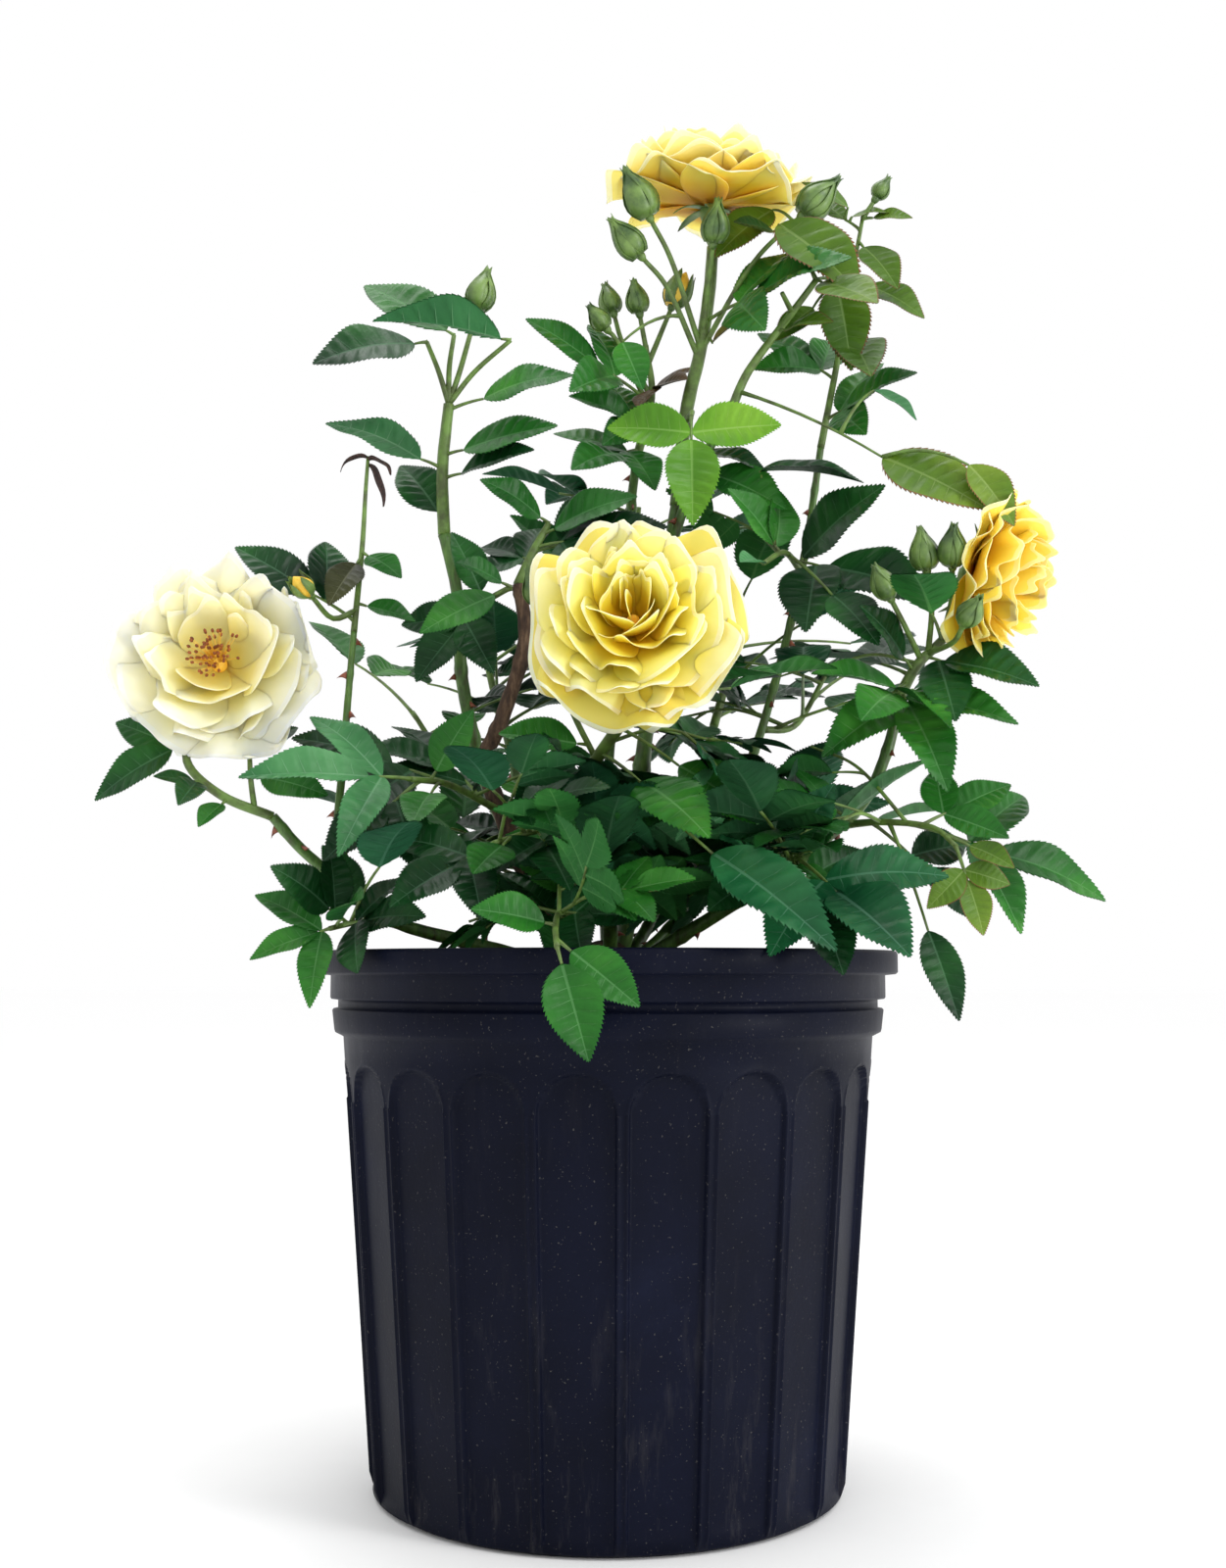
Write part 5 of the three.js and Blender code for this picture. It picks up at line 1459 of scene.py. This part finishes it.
def bud(greens, petals, base, heading, length, opening, seed):
    draw = seeded(seed)
    girth = 0.3 * length
    rise = length - 4
    hip = [(-1.0, 0.9), (0.6, 1.9), (2.2, 2.3), (3.6, 1.7)]
    greens.add(*turned_profile(base, heading, hip, 12))
    egg = [(2.6 + t * rise, max(egg_radius(girth, t), 0.15)) for t in np.linspace(0, 1, 12)]
    (petals if opening else greens).add(*turned_profile(base, heading, egg, 14, 0.03))
    side, other = axes_for(heading)
    for i in range(5):
        outward = leaning(side, other, 2 * math.pi * i / 5 + draw())
        reach = rise * (0.98 if opening else 1.12 + 0.1 * draw())

        def flare(t, reach=reach):
            return egg_radius(girth, min(t * reach / rise, 1.0)) + 0.35

        curl = (3.5 if opening else 0.6) + 1.2 * draw()
        wide = girth * (0.95 if opening else 1.25)
        greens.add(*sepal(base + heading * 2.6, heading, outward, reach, wide, flare, curl))


# The buds that show yellow, by their mass and length
OPENING_BUDS = {("foliage_centre_left", 24), ("foliage_left_thin", 17)}


def all_buds():
    greens, petals = Shape(), Shape()
    for index, mass in enumerate(FOLIAGE):
        for number, (path, (_, _, length)) in enumerate(zip(mass["paths"][1:], mass["twigs"])):
            if length:
                heading = path.heading(1.0)
                open_now = (mass["name"], length) in OPENING_BUDS
                bud(greens, petals, path.one(1.0) - heading, heading, length * 0.97, open_now,
                    index * 100 + number)
    skin = plain_finish("bud_green", (56, 84, 40), (112, 142, 70), 90, 0.4)
    yellow = plain_finish("bud_petal", (236, 178, 40), (250, 214, 84), 120, 0.55)
    greens.piece("buds", [skin], "leaf")
    petals.piece("bud_petals", [yellow], "petal")


# Petals
PETAL = {
    # its grid, how many rows of faces make the rim, and its thickness
    "rows": 16, "columns": 21, "rim_rows": 3, "thickness": 0.3,
    # the width of its foot as a share of its full width, how far up it is at its full width, how far it wraps
    # round the bloom, and where its rim starts to roll
    "foot": 0.28, "full": 0.66, "wrap": 0.62, "rolls_from": 0.62,
    # the low end and the spread of where its bend lies, outward and upward, its skew and its twist
    "bend_out": (0.8, 0.18), "bend_up": (0.05, 0.22), "skew": 0.1, "twist": 0.7,
    # the low end and the spread of the shares by which its size, its height and its ruffle are dealt
    "size": (0.91, 0.16), "height": (0.88, 0.22), "ruffled": (0.6, 0.9),
    # how far each ring of petals is turned past the one outside it, in radians, and each petal in its place
    "ring_turn": 0.73, "jitter": 0.5,
    # the distance over which a bloom's colours run
    "reach": 50,
}

# Blooms. Rows of petals from the outside in: how many, their reach as a share of the bloom's radius, the
# height of their rims as a share of its depth, their width as a share of the radius, the roll of the rim
# and how far a petal may be turned out of its place, in radians
FULL_ROSE = [
    (5, 1.0, 0.2, 1.5, 0.1, 0.1), (6, 0.9, 0.42, 1.28, 0.2, 0.4), (6, 0.77, 0.62, 1.14, 0.24, 0.6),
    (6, 0.62, 0.78, 0.98, 0.26, 0.9), (5, 0.46, 0.9, 0.84, 0.3, 1.3), (5, 0.33, 0.97, 0.66, 0.3, 1.8),
    (4, 0.21, 0.97, 0.5, 0.3, 2.4), (3, 0.11, 0.92, 0.36, 0.3, 3.0),
]
FLAT_ROSE = [
    (6, 1.03, 0.34, 1.4, 0.22, 0.1), (6, 0.95, 0.54, 1.2, 0.26, 0.2), (6, 0.84, 0.72, 1.06, 0.28, 0.35),
    (6, 0.68, 0.86, 0.9, 0.3, 0.6), (6, 0.5, 0.96, 0.76, 0.3, 0.9), (5, 0.32, 0.98, 0.6, 0.3, 1.2),
]
LOOSE_ROSE = [
    (7, 0.97, 0.36, 1.26, 0.16, 0.5), (6, 0.86, 0.58, 1.16, 0.24, 0.7), (5, 0.72, 0.78, 1.04, 0.3, 0.9),
    (5, 0.56, 0.98, 0.86, 0.32, 1.1), (3, 0.42, 0.84, 0.62, 0.3, 1.5),
]
# The looks of each bloom: how far the photo shows it beside its solid, its depth as a share of the solid's,
# how far each row stands above the row outside it, where its colours are measured from as a share of the
# depth, how much blue the outermost petals keep, which tints them golden as painted shade, how pale the
# rims are, partly their own colour and partly painted highlight, how tall the cushion in the heart is, and
# the colours by distance, golden near the heart partly as the rose's own colour and partly as painted shade
BLOOM_LOOKS = {
    "bloom_centre": {"rows": FULL_ROSE, "seed": 11, "shift": (-1, 0, 5), "deep": 1.05, "lift": 1.1,
                     "ruffle": 0.17, "heart": 0.05, "outer": 0.62, "pale": 0.38, "cushion": 2.6, "stops": [
        (0.2, (255, 204, 40)), (0.34, (255, 221, 56)), (0.5, (255, 238, 94)), (0.9, (255, 246, 158))]},
    "bloom_top": {"rows": FLAT_ROSE, "seed": 23, "shift": (0, 0, 10), "deep": 0.95, "lift": 0,
                  "ruffle": 0.1, "heart": -0.1, "outer": 0.7, "pale": 0.25, "cushion": 1, "stops": [
        (0.3, (238, 158, 20)), (0.6, (248, 196, 48)), (0.8, (253, 230, 110)), (1.0, (254, 242, 164))]},
    "bloom_left": {"rows": LOOSE_ROSE, "seed": 37, "shift": (-1, 0, 1), "deep": 1.0, "lift": 0.6,
                   "ruffle": 0.19, "heart": 0.1, "outer": 1.0, "pale": 0.32, "cushion": 1, "stops": [
        (0.14, (246, 208, 86)), (0.34, (251, 233, 136)), (0.58, (252, 243, 178)), (0.95, (253, 248, 212))]},
    "bloom_right": {"rows": FLAT_ROSE, "seed": 41, "shift": (2, 0, -5), "deep": 1.35, "lift": 0,
                    "ruffle": 0.1, "heart": -0.1, "outer": 0.7, "pale": 0.32, "cushion": 1, "stops": [
        (0.3, (240, 172, 30)), (0.56, (248, 202, 54)), (0.8, (252, 222, 90)), (1.0, (254, 238, 146))]},
}


def bloom_place(row):
    """Centre, axis and depth of a bloom's petals"""
    look = BLOOM_LOOKS[row["name"]]
    return vec(row["centre"]) + vec(look["shift"]), unit(vec(row["faces"])), row["depth"] * look["deep"]


def rim_slots(rows, columns, deep):
    """Material slots of a petal's faces: 1 for the last rows of both sides and for the edge, and 0 for the
    rest, which bloom() makes 2 in the outermost petals. Slot 1 carries the rims' painted highlight and slot 2
    the painted shade of the outermost petals"""
    side = np.repeat(np.arange(rows - 1) >= rows - 1 - deep, 2 * (columns - 1)).astype(int)
    return np.concatenate([side, side, np.ones(4 * (rows + columns - 2), int)])


def petal(reach, rim, width, roll, ruffle, yaw, draw):
    """One petal as a grid about the bloom's axis: out along X, up along Z"""
    phase, edge_phase, pace = draw() * 6.28, draw() * 6.28, 0.6 + 0.9 * draw()
    skew, twist = PETAL["skew"] * (draw() - 0.5), PETAL["twist"] * (draw() - 0.5)
    knee_out = reach * dealt(draw, *PETAL["bend_out"]) + 3.5 * (1 - min(reach / 45, 1))
    knee_up = rim * dealt(draw, *PETAL["bend_up"])
    turned_by = yaw * (draw() - 0.5)
    cos, sin = math.cos(turned_by), math.sin(turned_by)
    grid = np.zeros((PETAL["rows"], PETAL["columns"], 3))
    for i, v in enumerate(1 - (1 - np.linspace(0, 1, PETAL["rows"])) ** 1.5):
        widening = math.sin(math.pi / 2 * min(1.0, v / PETAL["full"]))
        body = 0.5 * width * (PETAL["foot"] + (1 - PETAL["foot"]) * widening) * (1 - 0.12 * v**6)
        for j, u in enumerate(np.linspace(-1, 1, PETAL["columns"])):
            lobes = 0.025 * math.sin(math.pi * (0.8 + pace) * u + edge_phase) * v**3
            s = v * (1 - 0.14 * abs(u) ** 2.6 + lobes + skew * u * v)
            out = 1.6 * (1 - s) ** 2 + knee_out * 2 * s * (1 - s) + reach * s**2
            up = 0.4 * (1 - s) ** 2 + knee_up * 2 * s * (1 - s) + rim * s**2
            across = u * body
            wrapped = PETAL["wrap"] * across / max(out, 5.0)
            x = out * math.cos(wrapped)
            y = out * math.sin(wrapped) + (1 - PETAL["wrap"]) * across
            swing = math.sin(math.pi * pace * u + phase)
            swing += 0.25 * math.sin(math.pi * 2.4 * pace * u + edge_phase)
            wave = ruffle * width * s**2 * swing
            over = max(0.0, s - PETAL["rolls_from"]) / (1 - PETAL["rolls_from"])
            x += roll * width * 0.3 * over**1.5 + wave * 0.15
            z = up + wave + twist * y * s * 0.5 - roll * width * 0.42 * over**2
            away = x - knee_out * 0.6
            grid[i, j] = (knee_out * 0.6 + away * cos - y * sin * s, away * sin * s + y * cos, z)
    return grid


def bloom_finishes(name, heart, look):
    """The colours of a bloom's petals; of their rims, lighter partly in their own colour and partly as painted
    highlight; and of the outermost petals, golden as painted shade
    """
    stops, pale, kept = look["stops"], look["pale"], look["outer"]
    # the rims are lighter, partly as their own colour and partly as painted highlight
    rims_paled_and_highlit = [(place, tuple(int(c + (255 - c) * pale) for c in colour)) for place, colour in stops]
    # the outermost petals lose blue and some green: a golden tone painted as their shade
    outer_painted_shade = [(place, (r, int(g * (0.75 + 0.25 * kept)), int(b * kept))) for place, (r, g, b) in stops]
    kinds = (("petals_", stops), ("petal_rims_and_highlight_", rims_paled_and_highlit), ("outer_petals_painted_shade_", outer_painted_shade))
    return [petal_finish(kind + name, heart, colours) for kind, colours in kinds]


def placed_petal(grid, turn, foot, side, other, axis):
    """A petal turned about the axis of its bloom and set on its foot"""
    cos, sin = math.cos(turn), math.sin(turn)
    across = grid[..., 0] * cos - grid[..., 1] * sin
    upward = grid[..., 0] * sin + grid[..., 1] * cos
    return foot + across[..., None] * side + upward[..., None] * other + grid[..., 2:] * axis


def bloom(row):
    look = BLOOM_LOOKS[row["name"]]
    draw = seeded(look["seed"])
    centre, axis, depth = bloom_place(row)
    side, other = axes_for(axis)
    back = centre - axis * depth * 0.6
    petals = Shape()
    for ring, (count, reach, rim, width, roll, yaw) in enumerate(look["rows"]):
        for i in range(count):
            turn = 2 * math.pi * i / count + PETAL["jitter"] * (draw() - 0.5) + ring * PETAL["ring_turn"]
            size = row["radius"] * dealt(draw, *PETAL["size"])
            height = depth * rim * dealt(draw, *PETAL["height"])
            ruffle = look["ruffle"] * dealt(draw, *PETAL["ruffled"])
            grid = petal(size * reach, height, size * width, roll, ruffle, yaw, draw)
            placed = placed_petal(grid, turn, back + UP * look["lift"] * ring, side, other, axis)
            points, faces = sheet(placed, PETAL["thickness"])
            slots = rim_slots(PETAL["rows"], PETAL["columns"], PETAL["rim_rows"])
            # the outermost ring takes slot 2, whose golden tone is painted shade
            petals.add(points, faces, np.where((slots == 0) & (ring == 0), 2, slots))
    finishes = bloom_finishes(row["name"], back + axis * depth * look["heart"], look)
    petals.piece(row["name"] + "_petals", finishes, "petal", [row["name"]])
    return back, axis


# Stamens: how many, and the low end and the spread of their length
STAMENS = {"count": 70, "length": (7, 9)}


def stamens(row, shape):
    """Brown stamens at the heart of the faded bloom"""
    draw = seeded(SEEDS["stamens"])
    centre, axis, depth = bloom_place(row)
    side, other = axes_for(axis)
    root = centre - axis * depth * 0.25
    for i in range(STAMENS["count"]):
        out = leaning(side, other, math.radians(GOLDEN_ANGLE * i + 80 * draw()))
        way = unit(axis + out * (0.1 + 1.1 * draw() ** 1.4))
        length = dealt(draw, *STAMENS["length"])
        foot = root + out * (1 + 2 * draw())
        tip = foot + way * length
        shape.add(*tube(np.array([foot, foot + way * length * 0.6, tip]), [0.22, 0.2, 0.2], 5), 0)
        anther = np.array([tip - way * 0.6, tip, tip + way * 1.0, tip + way * 1.5])
        shape.add(*tube(anther, [0.3, 0.75, 0.7, 0.25], 6), 1)


def bloom_greens(row, back, axis, stem_tip, greens, draw):
    """Stalk, hip and the five sepals behind a bloom"""
    bend = back - axis * row["depth"] * 0.45
    path = Path([stem_tip, (stem_tip + 2 * bend + back) / 4, back - axis * 7])
    shares, points = cane_line(path, 2.5)
    greens.add(*tube(points, 1.8 + 0.6 * shares, 10, relief(SEEDS["bloom_stalks"], 0.05)))
    hip = [(-8, 2.1), (-6.4, 3.2), (-4, 4.2), (-1.6, 4.4), (0.4, 3.6), (1.6, 2.6)]
    greens.add(*turned_profile(back, axis, hip, 16))
    side, other = axes_for(axis)

    def flare(t):
        return 1.5 * math.sin(math.pi * t)

    for i in range(5):
        outward = leaning(side, other, 2 * math.pi * i / 5 + 0.4 * draw())
        sweep = 0.5 + 0.5 * draw()
        way = unit(outward - axis * sweep * 0.35)
        lifted = unit(axis + outward * 0.3)
        length = 18 + 6 * draw()
        greens.add(*sepal(back + outward * 3, way, lifted, length, 5.2, flare, -5.0 * draw()))


def all_blooms():
    greens, hearts = Shape(), Shape()
    draw = seeded(SEEDS["calyces"])
    for row in BLOOMS:
        mass = next(m for m in FOLIAGE if m["name"] == row["foliage"])
        back, axis = bloom(row)
        tall = BLOOM_LOOKS[row["name"]]["cushion"]
        cushion = [(0, 3.0), (2.5 * tall, 3.6), (4.6 * tall, 2.8), (5.8 * tall, 0.8)]
        hearts.add(*turned_profile(back, axis, cushion, 14))
        bloom_greens(row, back, axis, mass["paths"][0].one(1.0), greens, draw)
        if row["name"] == "bloom_left":
            stamens(row, hearts)
    skin = plain_finish("calyx_green", (62, 92, 44), (112, 140, 72), 160, 0.45)
    filament = plain_finish("filament", (238, 178, 48), (252, 212, 92), 200, 0.6)
    anther = plain_finish("anther", (96, 44, 18), (168, 92, 34), 300, 0.7)
    greens.piece("calyces", [skin], "leaf")
    hearts.piece("stamens", [filament, anther], "petal")


# Withered leaflets at the tip of the thin left twig: where each starts, the way it hangs, its length and
# its width
WITHERED = [
    ((-116, -30, 487), (-0.8, -0.2, 0.1), 15, 6), ((-116, -30, 486), (0.75, -0.3, 0.0), 14, 7),
    ((-116, -30, 484), (0.5, 0.2, -0.75), 15, 8),
]


def withered():
    shape = Shape()
    for start, way, length, width in WITHERED:
        heading = unit(vec(way))
        side, other = axes_for(heading)
        grid = np.zeros((12, 5, 3))
        for i, t in enumerate(np.linspace(0, 1, 12)):
            curl = 1.7 * t**1.4
            middle = vec(start) + heading * length * (0.5 * math.sin(curl) + 0.4 * t)
            middle = middle - UP * length * (1 - math.cos(curl)) * 0.55
            half = width * 0.5 * math.sin(math.pi * (0.06 + 0.9 * t)) ** 0.8
            for j, c in enumerate((-1, -0.5, 0, 0.5, 1)):
                grid[i, j] = middle + side * half * c + other * half * (0.5 * abs(c) + 0.12 * math.sin(9 * t))
        shape.add(*sheet(grid, 0.35))
    dry = plain_finish("withered_leaf", (22, 14, 14), (70, 44, 38), 400, 0.7)
    shape.piece("withered_tips", [dry], "leaf")


# Floor, light and camera: the lamps' places and sizes are metres, and all three face one point of the bush
LAMPS = [
    ("key", (1.6, -1.1, 1.9), 0.8, 17), ("low", (1.5, -0.9, 0.4), 0.4, 9), ("top", (-0.2, 0.2, 2.3), 0.9, 13),
]
LIT_POINT = (0, 0, 0.4)
FLOOR_REACH = 25.0
CAMERA = {"x": 2.4, "y": -861, "z": 239.5, "pitch": 6.123, "focal_px": 1799, "frame_px": 1600, "sensor": 36}


def camera():
    data = bpy.data.cameras.new("camera")
    data.sensor_width = CAMERA["sensor"]
    data.lens = CAMERA["focal_px"] / CAMERA["frame_px"] * CAMERA["sensor"]
    data.clip_start = 0.01
    obj = placed_object("camera", data)
    obj.location = [CAMERA[k] * MM for k in "xyz"]
    obj.rotation_euler = (math.radians(90 + CAMERA["pitch"]), 0, 0)
    bpy.context.scene.camera = obj


def lamp(name, place, size, watts):
    data = bpy.data.lights.new(name, "AREA")
    data.size = size
    data.energy = watts
    obj = placed_object(name, data)
    obj.location = place
    aim = Vector(LIT_POINT) - Vector(place)
    obj.rotation_euler = aim.to_track_quat("-Z", "Y").to_euler()


def studio():
    mesh = bpy.data.meshes.new("floor")
    corners = [(x * FLOOR_REACH, y * FLOOR_REACH, 0) for x, y in ((-1, -1), (1, -1), (1, 1), (-1, 1))]
    mesh.from_pydata(corners, [], [(0, 1, 2, 3)])
    floor = placed_object("floor", mesh)
    paper = Finish("floor_paper", 0.9, specular=0.1)
    grain = paper.noise(40, detail=2)
    paper.into("Base Color", paper.ramp(grain, [(0.3, (0.99, 0.99, 0.99, 1)), (0.7, (1, 1, 1, 1))]))
    mesh.materials.append(paper.material)
    world = bpy.data.worlds.new("studio")
    world.use_nodes = True
    sky = world.node_tree.nodes["Background"].inputs
    sky["Color"].default_value = (1, 1, 1, 1)
    sky["Strength"].default_value = 1.0
    bpy.context.scene.world = world
    for row in LAMPS:
        lamp(*row)
    bpy.context.scene.view_settings.view_transform = "Standard"


cane_paths = {row["name"]: Path(row["bends"]) for row in CANES}
camera()
studio()
pot()
potting_mix()
crown()
canes(cane_paths)
bush = Bush()
for name, path in cane_paths.items():
    bush.limbs.add(path.at(np.linspace(0, 1, int(path.length / 4))), name)
dress_masses(bush, cane_paths)
single_leaves(bush)
finer_growth(bush)
leaf_pieces(bush)
wood_skin = plain_finish("twig_green", (72, 86, 42), (104, 138, 60), 120, 0.5)
bush.wood.piece("twigs_and_stalks", [wood_skin], "leaf", [mass["name"] for mass in FOLIAGE])
all_buds()
all_blooms()
withered()
